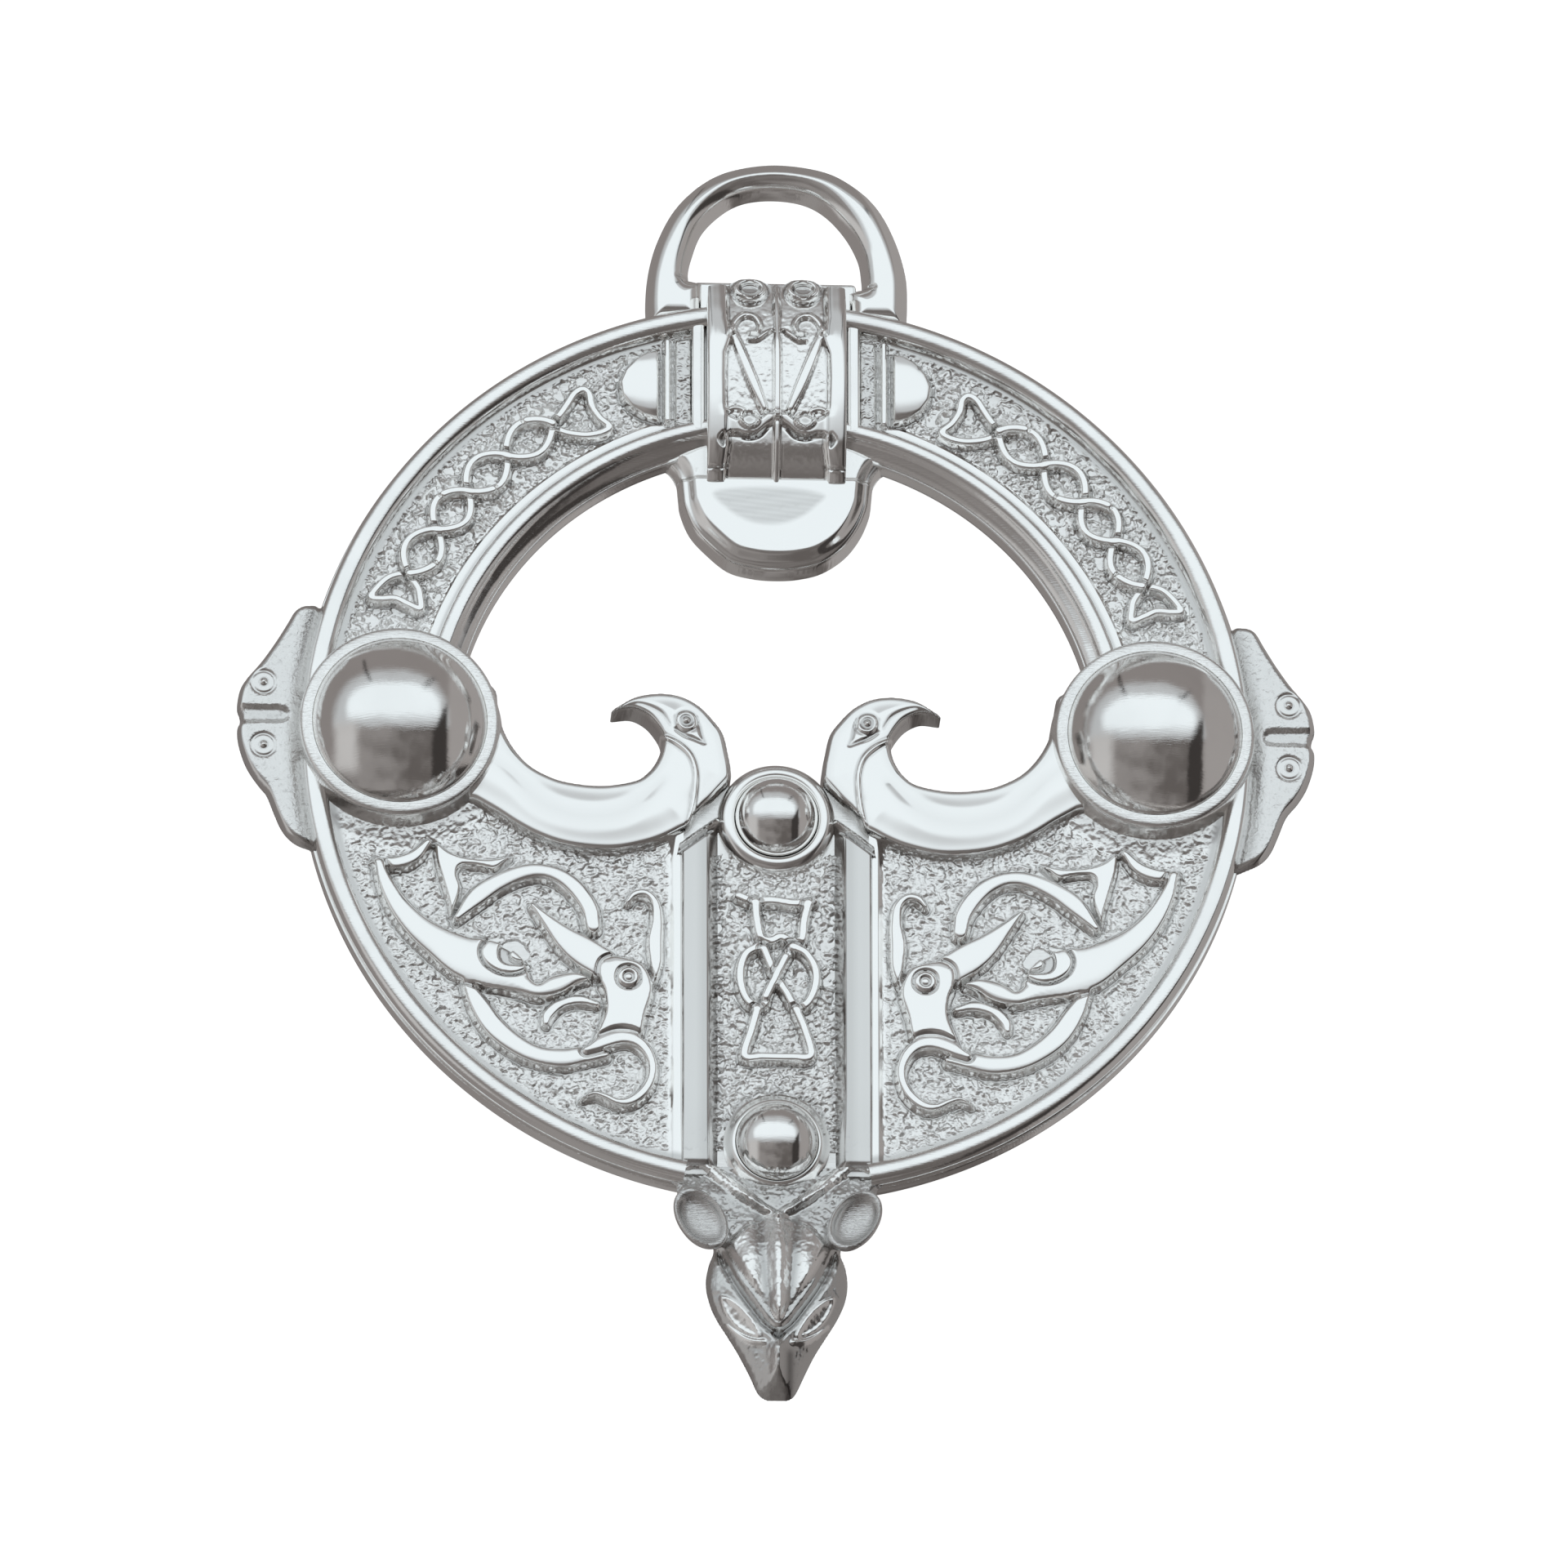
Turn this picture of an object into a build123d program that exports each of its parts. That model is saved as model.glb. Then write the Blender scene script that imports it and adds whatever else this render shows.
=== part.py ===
import os
from math import acos, cos, pi, radians, sin

from build123d import *

os.makedirs("parts", exist_ok=True)

# A cast silver ring brooch that lies on its back. Lengths are in millimetres. X runs to the right,
# Y to the loop at the top, and Z up out of the face. Heights are measured from the casting's flat
# back, and places across the face from the middle of the ring.

# Ring and plate
ring_radius = 34.0
ring_band = 10.8
plate_thickness = 1.7
relief_rise = 0.7
root = 0.4

# Rim round the outside, and ridge round the opening with a ledge inside it
rim_width = 1.4
rim_height = 3.0
rim_shoulder = 2.1
ridge_set_back = 1.5
ridge_width = 1.1
ridge_height = 2.7
ledge_height = 2.1
ledge_slope = 0.4

# Large domes at the two sides, and their bezels
dome_radius = 6.1
dome_rise = 4.3
dome_inset = 7.1
dome_y = 0.8
bezel_wall = 0.6
bezel_height = 4.0
bezel_spread = 0.7
seat_depth = 1.1
seat_gap = 0.08

# Small domes on the centre line
bead_radius = 2.9
bead_rise = 2.0
upper_bead_drop = 5.5
lower_bead_inset = 4.0
upper_collar_wall = 1.1
lower_collar_wall = 0.5
collar_spread = 0.5
collar_height = 2.9

# Centre bars, each with a crest between two slopes and a slanted cord over its top
bar_spacing = 11.6
bar_crest = 1.6
bar_width = 3.0
bar_height = 2.9
bar_slant = 1.6
bar_cord = 0.7

# Bird arms
arm_edge_height = 2.1
arm_height = 3.5

# Lugs at the two sides
lug_reach = 4.6
lug_half_height = 9.0
lug_height = 2.8
lug_middle_y = 1.3
lug_eye_radius = 0.85
lug_eye_reach = 2.6
lug_eye_spread = 4.8
lug_eye_rise = 0.25

# Tab below the strap
tab_width = 13.8
tab_straight = 6.0
tab_reach = 9.5
tab_height = 2.7
tab_bevel = 0.7

# Loop at the top
loop_rise = 1.9
loop_radius = 9.0
loop_bar_width = 2.8
loop_bar_height = 2.6
loop_bar_round = 0.9
shelf_height = 2.2

# Strap over the top of the ring
strap_width = 9.9
strap_gap = 0.08
strap_overhang = 3.2
strap_short = 0.7
strap_skin = 0.5
strap_edge_height = 3.3
strap_turn_height = 4.8
strap_crown_height = 5.0
strap_side = 1.3
strap_rib = 0.8
roll_radius = 1.3
roll_spacing = 3.8
roll_rise = 0.5
scroll_radius = 1.0
scroll_spacing = 4.0

# Fence, block, cord and half-oval boss at the end of each of the ring's panels
fence_width = 0.9
block_width = 0.8
block_length = 6.2
thin_cord_width = 0.3
thin_cord_length = 5.4
end_space = 0.4
half_boss_reach = 3.2
half_boss_width = 5.3
half_boss_slope = 0.55

# Animal mask at the foot
mask_reach = 14.8
mask_overlap = 0.4
mask_height = 4.4
ear_length = 5.0
ear_width = 3.3
ear_turn = -56
ear_height = 3.5
ear_wall = 0.5
ear_dish = 0.6

# Hidden hinge block, stem and catch
pin_clearance = 4.0
pin_gap = 0.05
pin_drop = 5.0
pin_span = 50.0
foot_drop = 1.6
foot_thickness = 3.0
foot_width = 10.0
foot_round = 0.8
stem_radius = 0.6

# Interlace on the ring: two strands that cross, with a bell at each end. Angles are in degrees
# from +X.
strand_width = 0.5
strand_swing = 1.3
first_crossing = 123.5
last_crossing = 154.1
strand_eyes = 4
bell_reach = 3.0
bell_width = 3.1

# Beast panel on the left half: each row is a point on the middle of a raised band and the band's
# half width there, in hundredths of the ring's radius
beast_bands = {
    "arch": [
        (-67, -39, 1),
        (-63, -35, 1.5),
        (-57.5, -31, 2),
        (-50.5, -29.5, 2),
        (-44, -32, 2),
        (-38, -41, 2),
    ],
    "tail_tip": [(-73, -23, 0.5), (-76.5, -26, 1), (-84, -27.5, 0.5)],
    "tail": [
        (-83, -28.5, 1),
        (-77, -37, 1.5),
        (-67, -45, 3),
        (-62, -49, 4),
        (-51, -54.5, 2.5),
        (-39.5, -53.5, 0.5),
    ],
    "curl": [
        (-52.5, -51, 0.5),
        (-57, -52.2, 1.3),
        (-60.5, -49, 1.5),
        (-59, -44.5, 1.2),
        (-54.5, -45.5, 0.7),
    ],
    "fin": [(-71.5, -24, 0.5), (-68, -26.5, 1.5), (-62, -28.2, 1.3), (-55.5, -27, 0.4)],
    "wedge": [(-69, -25, 1), (-68, -31, 1.8), (-67.5, -39.5, 0.5)],
    "belly": [(-66, -54, 0.7), (-62, -60, 2.3), (-53, -69, 2.5), (-40, -70.5, 1.8)],
    "spear": [(-51, -37, 0.5), (-46, -43, 2), (-36, -50, 2.4)],
    "face": [(-34, -49, 3), (-31.5, -53, 5.3), (-31.5, -58, 5.5), (-34, -67, 3.6)],
    "jaw": [
        (-40, -69, 1),
        (-33, -67, 1.5),
        (-26.5, -73.5, 1.5),
        (-30, -79.8, 1.5),
        (-41.5, -79.5, 0.5),
    ],
    "lock": [(-31, -36.5, 0.8), (-28, -34.8, 1.3), (-25.6, -43.5, 1.5), (-25.3, -52, 0.7)],
    "toe": [(-38, -58, 0.7), (-45, -58.5, 1), (-48.5, -62.5, 1.2)],
}

# Knot between the bars: its upper and lower frames and the right one of its two loops, as the
# corners of straight cords in hundredths of the ring's radius
knot_frames = [
    [(-7, -35.5), (6.5, -36), (4.5, -44.5), (0, -43.7), (-4.5, -45), (-7, -35.5)],
    [(-4, -59.5), (3.5, -59.5), (7, -69.3), (-7.5, -70), (-4, -59.5)],
]
knot_loop = [(0, -52.3), (3, -46.2), (7.4, -47.5), (7.8, -54), (4, -58.6), (0, -52.3)]

# Bird arm on the left: the edge beside the opening, then the edge away from it, in hundredths of
# the ring's radius, from the dome to the tip of the beak
arm_rows = [
    (-61.5, 7, -65.5, -12),
    (-55.5, -0.5, -58, -16),
    (-46.5, -8, -48, -21),
    (-36.5, -10, -36.5, -23.3),
    (-29, -8.5, -25, -21.2),
    (-25.3, -4.7, -16.2, -16),
    (-23.7, -0.6, -10.4, -6.5),
    (-24.4, 2.6, -11.5, 3),
    (-26.5, 5.3, -16.8, 8.8),
    (-29.4, 6.9, -24.7, 10.7),
    (-34.4, 6.8, -33.8, 7.8),
]

# Upper half of the left lug's outline, from its middle to the ring: reach past the ring as a
# share of lug_reach, and rise above the lug's middle line as a share of lug_half_height
lug_outline = [
    (0.96, 0.03),
    (0.98, 0.1),
    (0.9, 0.3),
    (0.66, 0.45),
    (0.42, 0.6),
    (0.22, 0.82),
    (0.02, 0.99),
]

# Mask: distance from its start and half width as shares of its length, then the heights of its
# middle and of its edge as shares of mask_height
mask_rows = [
    (0.0, 0.32, 0.68, 0.62),
    (0.22, 0.29, 0.84, 0.66),
    (0.42, 0.33, 0.98, 0.6),
    (0.56, 0.32, 1.0, 0.56),
    (0.72, 0.22, 0.92, 0.52),
    (0.88, 0.13, 0.86, 0.5),
    (1.0, 0.05, 0.6, 0.42),
]
ear_place = (-15.8, -105.5)

# Sizes and places that follow from those above
opening_radius = ring_radius - ring_band
ridge_radius = opening_radius + ridge_set_back
rim_inside = ring_radius - rim_width
ground = plate_thickness
panel_middle_radius = (ridge_radius + ridge_width / 2 + rim_inside) / 2
dome_x = ring_radius - dome_inset
upper_bead_y = -upper_bead_drop
lower_bead_y = lower_bead_inset - ring_radius
bar_outside = (bar_spacing + bar_width) / 2
bar_inside = (bar_spacing - bar_width) / 2
bar_top_y = upper_bead_y - bar_spacing / 8
loop_centre_y = ring_radius + loop_rise
strap_low_y = opening_radius - strap_overhang
strap_high_y = loop_centre_y - strap_short
strap_length = strap_high_y - strap_low_y
mask_start_y = mask_overlap - ring_radius
mask_length = mask_reach + mask_overlap
centre_y = (mask_reach - loop_rise - loop_radius) / 2
axle = Axis((0, centre_y, 0), (0, 0, 1))
up_from_base = (Align.CENTER, Align.CENTER, Align.MIN)
out_from_middle = (Align.CENTER, Align.MIN)


def level(height):
    """A plane square to Z over the ring's middle, at a height above the flat back."""
    return Plane((0, centre_y, pin_clearance + height))


def cross_plane(y):
    """An upright plane across the brooch, with X to the right and Z up."""
    return Plane((0, centre_y + y, pin_clearance), x_dir=(1, 0, 0), z_dir=(0, -1, 0))


def long_plane(x):
    """An upright plane along the brooch, with Y to the right and Z up."""
    return Plane((x, centre_y, pin_clearance), x_dir=(0, 1, 0), z_dir=(1, 0, 0))


def share(x, y):
    """A point given in hundredths of the ring's radius."""
    return Vector(x, y) * (ring_radius / 100)


def band(rows):
    """A flat band through points on its middle, each with its own half width."""
    middle = [share(x, y) for x, y, _ in rows]
    half = [width * ring_radius / 100 for _, _, width in rows]
    left = []
    right = []
    for index, point in enumerate(middle):
        behind = middle[max(index - 1, 0)]
        ahead = middle[min(index + 1, len(middle) - 1)]
        side = (ahead - behind).normalized().rotate(Axis.Z, 90) * half[index]
        left.append(point + side)
        right.append(point - side)
    with BuildSketch() as flat:
        with BuildLine():
            Spline(*left)
            Line(left[-1], right[-1])
            Spline(*reversed(right))
            Line(right[0], left[0])
        make_face()
    return flat.sketch


def cord(points, width):
    """A flat cord of even width along straight runs, with round ends."""
    with BuildSketch() as flat:
        for start, end in zip(points, points[1:]):
            run = Vector(*end) - Vector(*start)
            with Locations((Vector(*start) + Vector(*end)) / 2):
                SlotCenterToCenter(run.length, width, rotation=Vector(1, 0).get_signed_angle(run))
    return flat.sketch


def strand(sign):
    """One strand of the ring's interlace, which swings to the other side at each crossing."""
    step = (last_crossing - first_crossing) / strand_eyes
    points = []
    for index in range(2 * strand_eyes + 1):
        angle = radians(first_crossing + index * step / 2)
        swing = sign * strand_swing * sin(pi * index / 2)
        points.append(Vector(cos(angle), sin(angle)) * (panel_middle_radius + swing))
    with BuildSketch() as flat:
        with BuildLine() as path:
            Spline(*points)
        trace(path.line, line_width=strand_width)
    return flat.sketch


def bell(crossing, way):
    """The three-cornered end of the interlace, past its first or last crossing."""
    angle = radians(crossing)
    outward = Vector(cos(angle), sin(angle))
    onward = Vector(-sin(angle), cos(angle)) * way * bell_reach
    tip = outward * panel_middle_radius
    near = tip + onward - outward * bell_width / 2
    far = tip + onward + outward * bell_width / 2
    return cord([tip, near, far, tip], strand_width)


def dome_section(radius, rise, shank):
    """Half the upright section of a polished dome on a short shank."""
    ball = (radius**2 + rise**2) / (2 * rise)
    halfway = acos(1 - rise / ball) / 2
    shoulder = (ball * sin(halfway), shank + rise - ball * (1 - cos(halfway)))
    with BuildSketch() as flat:
        with BuildLine():
            Polyline((0, shank + rise), (0, 0), (radius, 0), (radius, shank))
            ThreePointArc((radius, shank), shoulder, (0, shank + rise))
        make_face()
    return flat.sketch


def arch(lift):
    """The strap's upright section, an arch that falls steeply at the tab."""
    foot = ground + strap_gap
    low = (strap_low_y, tab_height - lift)
    bend = (strap_low_y + 0.13 * strap_length, (tab_height + strap_turn_height) / 2 + 0.6 - lift)
    turn = (strap_low_y + 0.36 * strap_length, strap_turn_height - lift)
    crown = (strap_low_y + 0.62 * strap_length, strap_crown_height - lift)
    high = (strap_high_y, strap_edge_height - lift)
    with BuildSketch(long_plane(-strap_width / 2)) as flat:
        with BuildLine():
            Polyline(high, (strap_high_y, foot), (strap_low_y, foot), low)
            ThreePointArc(low, bend, turn)
            ThreePointArc(turn, crown, high)
        make_face()
    return flat.sketch


# Bird arm on the left: upright sections with crowned tops, joined in turn from dome to beak
with BuildPart() as arm:
    for inner_x, inner_y, outer_x, outer_y in arm_rows:
        inner = share(inner_x, inner_y)
        across = share(outer_x, outer_y) - inner
        wide = across.length
        crown = arm_edge_height + (arm_height - arm_edge_height) * min(1, wide / loop_bar_width)
        foot = (inner.X, centre_y + inner.Y, pin_clearance)
        station = Plane(foot, x_dir=(across.X, across.Y, 0), z_dir=(across.Y, -across.X, 0))
        with BuildSketch(station):
            with BuildLine():
                Polyline((0, arm_edge_height), (0, 0), (wide, 0), (wide, arm_edge_height))
                ThreePointArc((wide, arm_edge_height), (wide / 2, crown), (0, arm_edge_height))
            make_face()
    loft(ruled=True)

# Mask at the foot: five-cornered sections with a ridge down the middle, then its dished ears
with BuildPart() as mask:
    for along, half_width, middle, edge in mask_rows:
        half = half_width * mask_length
        with BuildSketch(cross_plane(mask_start_y - along * mask_length)):
            Polygon(
                (-half, 0),
                (half, 0),
                (half, edge * mask_height),
                (0, middle * mask_height),
                (-half, edge * mask_height),
                align=None,
            )
    loft(ruled=True)
    with BuildSketch(level(0)):
        with Locations(share(*ear_place)):
            Ellipse(ear_length / 2, ear_width / 2, rotation=ear_turn)
        mirror(about=Plane.YZ)
    extrude(amount=ear_height)
    with BuildSketch(level(ear_height - ear_dish)):
        with Locations(share(*ear_place)):
            Ellipse(ear_length / 2 - ear_wall, ear_width / 2 - ear_wall, rotation=ear_turn)
        mirror(about=Plane.YZ)
    extrude(amount=mask_height, mode=Mode.SUBTRACT)

# Tab that hangs into the opening, bevelled all round its face
with BuildPart() as tab:
    with BuildSketch(level(0)):
        with BuildLine():
            tab_top = opening_radius + ridge_set_back / 2
            tab_side_end = opening_radius - tab_straight
            Polyline(
                (-tab_width / 2, tab_side_end),
                (-tab_width / 2, tab_top),
                (tab_width / 2, tab_top),
                (tab_width / 2, tab_side_end),
            )
            EllipticalCenterArc(
                (0, tab_side_end),
                tab_width / 2,
                tab_reach - tab_straight,
                start_angle=180,
                arc_size=180,
            )
        make_face()
    extrude(amount=tab_height)
    chamfer(tab.faces().sort_by(Axis.Z)[-1].edges(), tab_bevel)

# Loop: a half ring of rounded bar on two straight legs, with a shelf between them
with BuildPart() as loop:
    bar_middle = (loop_radius - loop_bar_width / 2, loop_bar_height / 2)
    leg_length = loop_rise + rim_width
    with BuildSketch(cross_plane(loop_centre_y)):
        with Locations(bar_middle):
            RectangleRounded(loop_bar_width, loop_bar_height, loop_bar_round)
    revolve(axis=Axis((0, centre_y + loop_centre_y, 0), (0, 0, 1)), revolution_arc=180)
    with BuildSketch(cross_plane(loop_centre_y)):
        with Locations(bar_middle):
            RectangleRounded(loop_bar_width, loop_bar_height, loop_bar_round)
        mirror(about=Plane.YZ)
    extrude(amount=leg_length)
    with BuildSketch(level(0)):
        with Locations((0, loop_centre_y)):
            Rectangle(
                2 * loop_radius - loop_bar_width,
                leg_length,
                align=(Align.CENTER, Align.MAX),
            )
    extrude(amount=shelf_height)

# The casting, in one solid
with BuildPart() as casting:
    # Plate with the pierced crescent left open above the arms
    collar_radius = bead_radius + seat_gap + upper_collar_wall
    with BuildSketch(level(0)):
        Circle(ring_radius)
        with BuildSketch(mode=Mode.SUBTRACT):
            Circle(opening_radius)
            with Locations(share(0, -10)):
                Rectangle(
                    2 * ring_radius, 2 * ring_radius, align=out_from_middle, mode=Mode.INTERSECT
                )
        with Locations((0, upper_bead_y)):
            Circle(collar_radius)
            Rectangle(bar_spacing - bar_width, bead_radius, align=out_from_middle)
    extrude(amount=plate_thickness)

    # Rim round the outside, then ridge and ledge round the upper opening
    with BuildSketch(cross_plane(0)):
        with BuildLine():
            Polyline(
                (rim_inside, rim_shoulder),
                (rim_inside, ground - root),
                (ring_radius, ground - root),
                (ring_radius, rim_shoulder),
            )
            ThreePointArc(
                (ring_radius, rim_shoulder),
                (ring_radius - rim_width / 2, rim_height),
                (rim_inside, rim_shoulder),
            )
        make_face()
    revolve(axis=axle)
    with BuildSketch(cross_plane(0)):
        with BuildLine():
            ridge_inside = ridge_radius - ridge_width / 2
            ridge_outside = ridge_radius + ridge_width / 2
            Polyline(
                (ridge_inside, ledge_height),
                (opening_radius, ledge_height - ledge_slope),
                (opening_radius, 0),
                (ridge_outside, 0),
                (ridge_outside, ledge_height),
            )
            ThreePointArc(
                (ridge_outside, ledge_height),
                (ridge_radius, ridge_height),
                (ridge_inside, ledge_height),
            )
        make_face()
    revolve(axis=axle, revolution_arc=180)

    # Lugs at the sides
    with BuildSketch(level(0)):
        lug_edge = [
            (-ring_radius - reach * lug_reach, lug_middle_y + rise * lug_half_height)
            for reach, rise in lug_outline
        ]
        lug_under = [(x, 2 * lug_middle_y - y) for x, y in lug_edge]
        lug_root = dome_x + dome_radius
        Polygon(
            *reversed(lug_under),
            *lug_edge,
            (-lug_root, lug_edge[-1][1]),
            (-lug_root, lug_under[-1][1]),
            align=None,
        )
        mirror(about=Plane.YZ)
    extrude(amount=lug_height)

    # Bird arms, mask, tab and loop
    add(arm.part)
    mirror(arm.part, about=Plane.YZ)
    add(mask.part)
    add(tab.part)
    add(loop.part)

    # Bars, each cut off on a slant with a cord above the cut
    bar_shoulder = (bar_height + ground) / 2
    with BuildSketch(cross_plane(bar_top_y)):
        Polygon(
            (bar_inside, ground - root),
            (bar_outside, ground - root),
            (bar_outside, bar_shoulder),
            ((bar_spacing + bar_crest) / 2, bar_height),
            ((bar_spacing - bar_crest) / 2, bar_height),
            (bar_inside, bar_shoulder),
            align=None,
        )
        mirror(about=Plane.YZ)
    extrude(amount=ring_radius - rim_width / 2 + bar_top_y)
    with BuildSketch(level(ground + root)):
        Polygon(
            ((bar_spacing - bar_crest) / 2, bar_top_y + root),
            (bar_outside + root, bar_top_y + root),
            (bar_outside + root, bar_top_y - bar_slant),
            align=None,
        )
        mirror(about=Plane.YZ)
    extrude(amount=bar_height, mode=Mode.SUBTRACT)

    # Channel that the strap sits in
    with BuildSketch(level(ground)):
        with Locations((0, strap_low_y - strap_gap)):
            Rectangle(
                strap_width + 2 * strap_gap,
                loop_centre_y - strap_low_y + strap_gap,
                align=out_from_middle,
            )
    extrude(amount=rim_height, mode=Mode.SUBTRACT)

    # Bezels and collars, then the seats cut into them
    seats = [
        (-dome_x, dome_y, bezel_height, dome_radius, bezel_wall, bezel_spread),
        (dome_x, dome_y, bezel_height, dome_radius, bezel_wall, bezel_spread),
        (0, upper_bead_y, collar_height, bead_radius, upper_collar_wall, collar_spread),
        (0, lower_bead_y, collar_height, bead_radius, lower_collar_wall, collar_spread),
    ]
    for x, y, height, radius, wall, spread in seats:
        with Locations((x, centre_y + y, pin_clearance)):
            wide = radius + seat_gap + wall
            Cone(wide + spread, wide, height, align=up_from_base)
    for x, y, height, radius, wall, spread in seats:
        with Locations((x, centre_y + y, pin_clearance + height - seat_depth)):
            Cylinder(radius + seat_gap, 2 * seat_depth, align=up_from_base, mode=Mode.SUBTRACT)

    # Half-oval bosses at the ends of the ring's panels
    fence_x = (strap_width + fence_width) / 2 + 2 * strap_gap
    block_x = fence_x + (fence_width + block_width) / 2
    thin_cord_x = block_x + (block_width + thin_cord_width) / 2 + end_space
    half_boss_x = thin_cord_x + thin_cord_width / 2 + end_space / 2
    panel_end_y = (ridge_radius + rim_inside) / 2 - ridge_width / 2
    for side, inner_side in ((-1, Align.MAX), (1, Align.MIN)):
        for height, slope in ((ground - root, 0), (ground + relief_rise, half_boss_slope)):
            with BuildSketch(level(height)):
                with Locations((side * half_boss_x, panel_end_y)):
                    Ellipse(half_boss_reach - slope, half_boss_width / 2 - slope)
                    Rectangle(
                        half_boss_reach,
                        half_boss_width,
                        align=(inner_side, Align.CENTER),
                        mode=Mode.INTERSECT,
                    )
        loft()

    # Fences beside the strap, and the slanted cords over the bars
    with BuildSketch(level(ground - root)):
        with Locations((-fence_x, (ridge_radius + rim_inside) / 2)):
            Rectangle(fence_width, rim_inside - ridge_radius + ridge_width)
        slant_low = (bar_outside, bar_top_y - bar_slant / 2)
        slant_high = (bar_inside, bar_top_y + bar_slant)
        add(cord([slant_low, slant_high], bar_cord))
        mirror(about=Plane.YZ)
    extrude(amount=bar_height - ground + root)

    # Rings and dots of the lugs' eyes
    with BuildSketch(level(lug_height - root)):
        for row in (-1, 1):
            eye = (-ring_radius - lug_eye_reach, lug_middle_y + row * lug_eye_spread / 2)
            with Locations(eye):
                Circle(lug_eye_radius)
                Circle(lug_eye_radius * 0.65, mode=Mode.SUBTRACT)
                Circle(lug_eye_radius * 0.3)
        mirror(about=Plane.YZ)
    extrude(amount=root + lug_eye_rise)

    # Cast relief raised from the ground: beasts, knot, interlace, and the panels' end pieces
    loops = [share(x, y) for x, y in knot_loop]
    other_loops = [share(-x, y) for x, y in knot_loop]
    with BuildSketch(level(ground - root)):
        add([band(rows) for rows in beast_bands.values()])
        add([strand(1), strand(-1), bell(first_crossing, -1), bell(last_crossing, 1)])
        with Locations((-block_x, panel_end_y)):
            Rectangle(block_width, block_length)
        with Locations((-thin_cord_x, panel_end_y)):
            Rectangle(thin_cord_width, thin_cord_length)
        mirror(about=Plane.YZ)
        add([cord([share(x, y) for x, y in corners], strand_width) for corners in knot_frames])
        add([cord(loops, strand_width), cord(other_loops, strand_width)])
    extrude(amount=root + relief_rise)

# Strap: ornament cut to an arch, on a lower arch that shows between it as the sunk field
with BuildPart() as strap:
    with BuildSketch(level(ground + strap_gap)):
        with Locations((0, strap_low_y)):
            Rectangle(strap_rib, strap_length, align=out_from_middle)
        for side in (-1, 1):
            with Locations((side * (strap_width - strap_side) / 2, strap_low_y)):
                Rectangle(strap_side, strap_length, align=out_from_middle)
            with Locations((side * strap_width / 4, strap_low_y + 0.29 * strap_length)):
                Rectangle(strap_width / 2, strap_rib)
            diagonal_low = (side * strap_rib / 2, strap_low_y + 0.34 * strap_length)
            diagonal_high = (side * strap_width / 3, strap_low_y + 0.73 * strap_length)
            add(cord([diagonal_low, diagonal_high], strap_rib))
            with Locations((side * scroll_spacing / 2, strap_low_y + 0.79 * strap_length)):
                Circle(scroll_radius)
                Circle(scroll_radius / 2, mode=Mode.SUBTRACT)
    extrude(amount=2 * strap_crown_height)
    extrude(arch(0), amount=strap_width, mode=Mode.INTERSECT)
    extrude(arch(strap_skin), amount=strap_width)
    with BuildSketch(level(ground + strap_gap)):
        with Locations((0, strap_high_y - roll_radius / 2)):
            with GridLocations(roll_spacing, 1, 2, 1):
                Circle(roll_radius)
    extrude(amount=strap_edge_height + roll_rise - ground)

# Hinge block, stem and catch on the back, in one plain piece
with BuildPart() as back_pin:
    foot_height = pin_clearance - pin_gap
    with BuildSketch(Plane((0, centre_y - foot_drop, 0))):
        with GridLocations(pin_span, 1, 2, 1):
            RectangleRounded(foot_thickness, foot_width, foot_round)
    extrude(amount=foot_height)
    stem_start = (-pin_span / 2, centre_y - pin_drop, foot_height / 2)
    with BuildSketch(Plane(stem_start, z_dir=(1, 0, 0))):
        Circle(stem_radius)
    extrude(amount=pin_span)

pieces = {"casting": casting.part, "strap": strap.part, "back_pin": back_pin.part}

# Polished domes on short shanks that drop into their seats
shank_length = seat_depth - seat_gap
domes = {
    "boss_left": (-dome_x, dome_y, bezel_height, dome_radius, dome_rise),
    "boss_right": (dome_x, dome_y, bezel_height, dome_radius, dome_rise),
    "boss_upper": (0, upper_bead_y, collar_height, bead_radius, bead_rise),
    "boss_lower": (0, lower_bead_y, collar_height, bead_radius, bead_rise),
}
for name, (x, y, seat_top, radius, rise) in domes.items():
    foot = (x, centre_y + y, pin_clearance + seat_top - shank_length)
    with BuildPart() as boss:
        with BuildSketch(Plane(foot, x_dir=(1, 0, 0), z_dir=(0, -1, 0))):
            add(dome_section(radius, rise, shank_length))
        revolve(axis=Axis(foot, (0, 0, 1)))
    pieces[name] = boss.part

for name, piece in pieces.items():
    piece.label = name
    export_step(piece, f"parts/{name}.step")
    print(name, round(piece.volume, 1), piece.center(CenterOf.MASS), piece.bounding_box().size)
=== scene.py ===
from math import asin, cos, pi, radians, sin

import bpy
import numpy as np
from mathutils import Matrix, Vector


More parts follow.
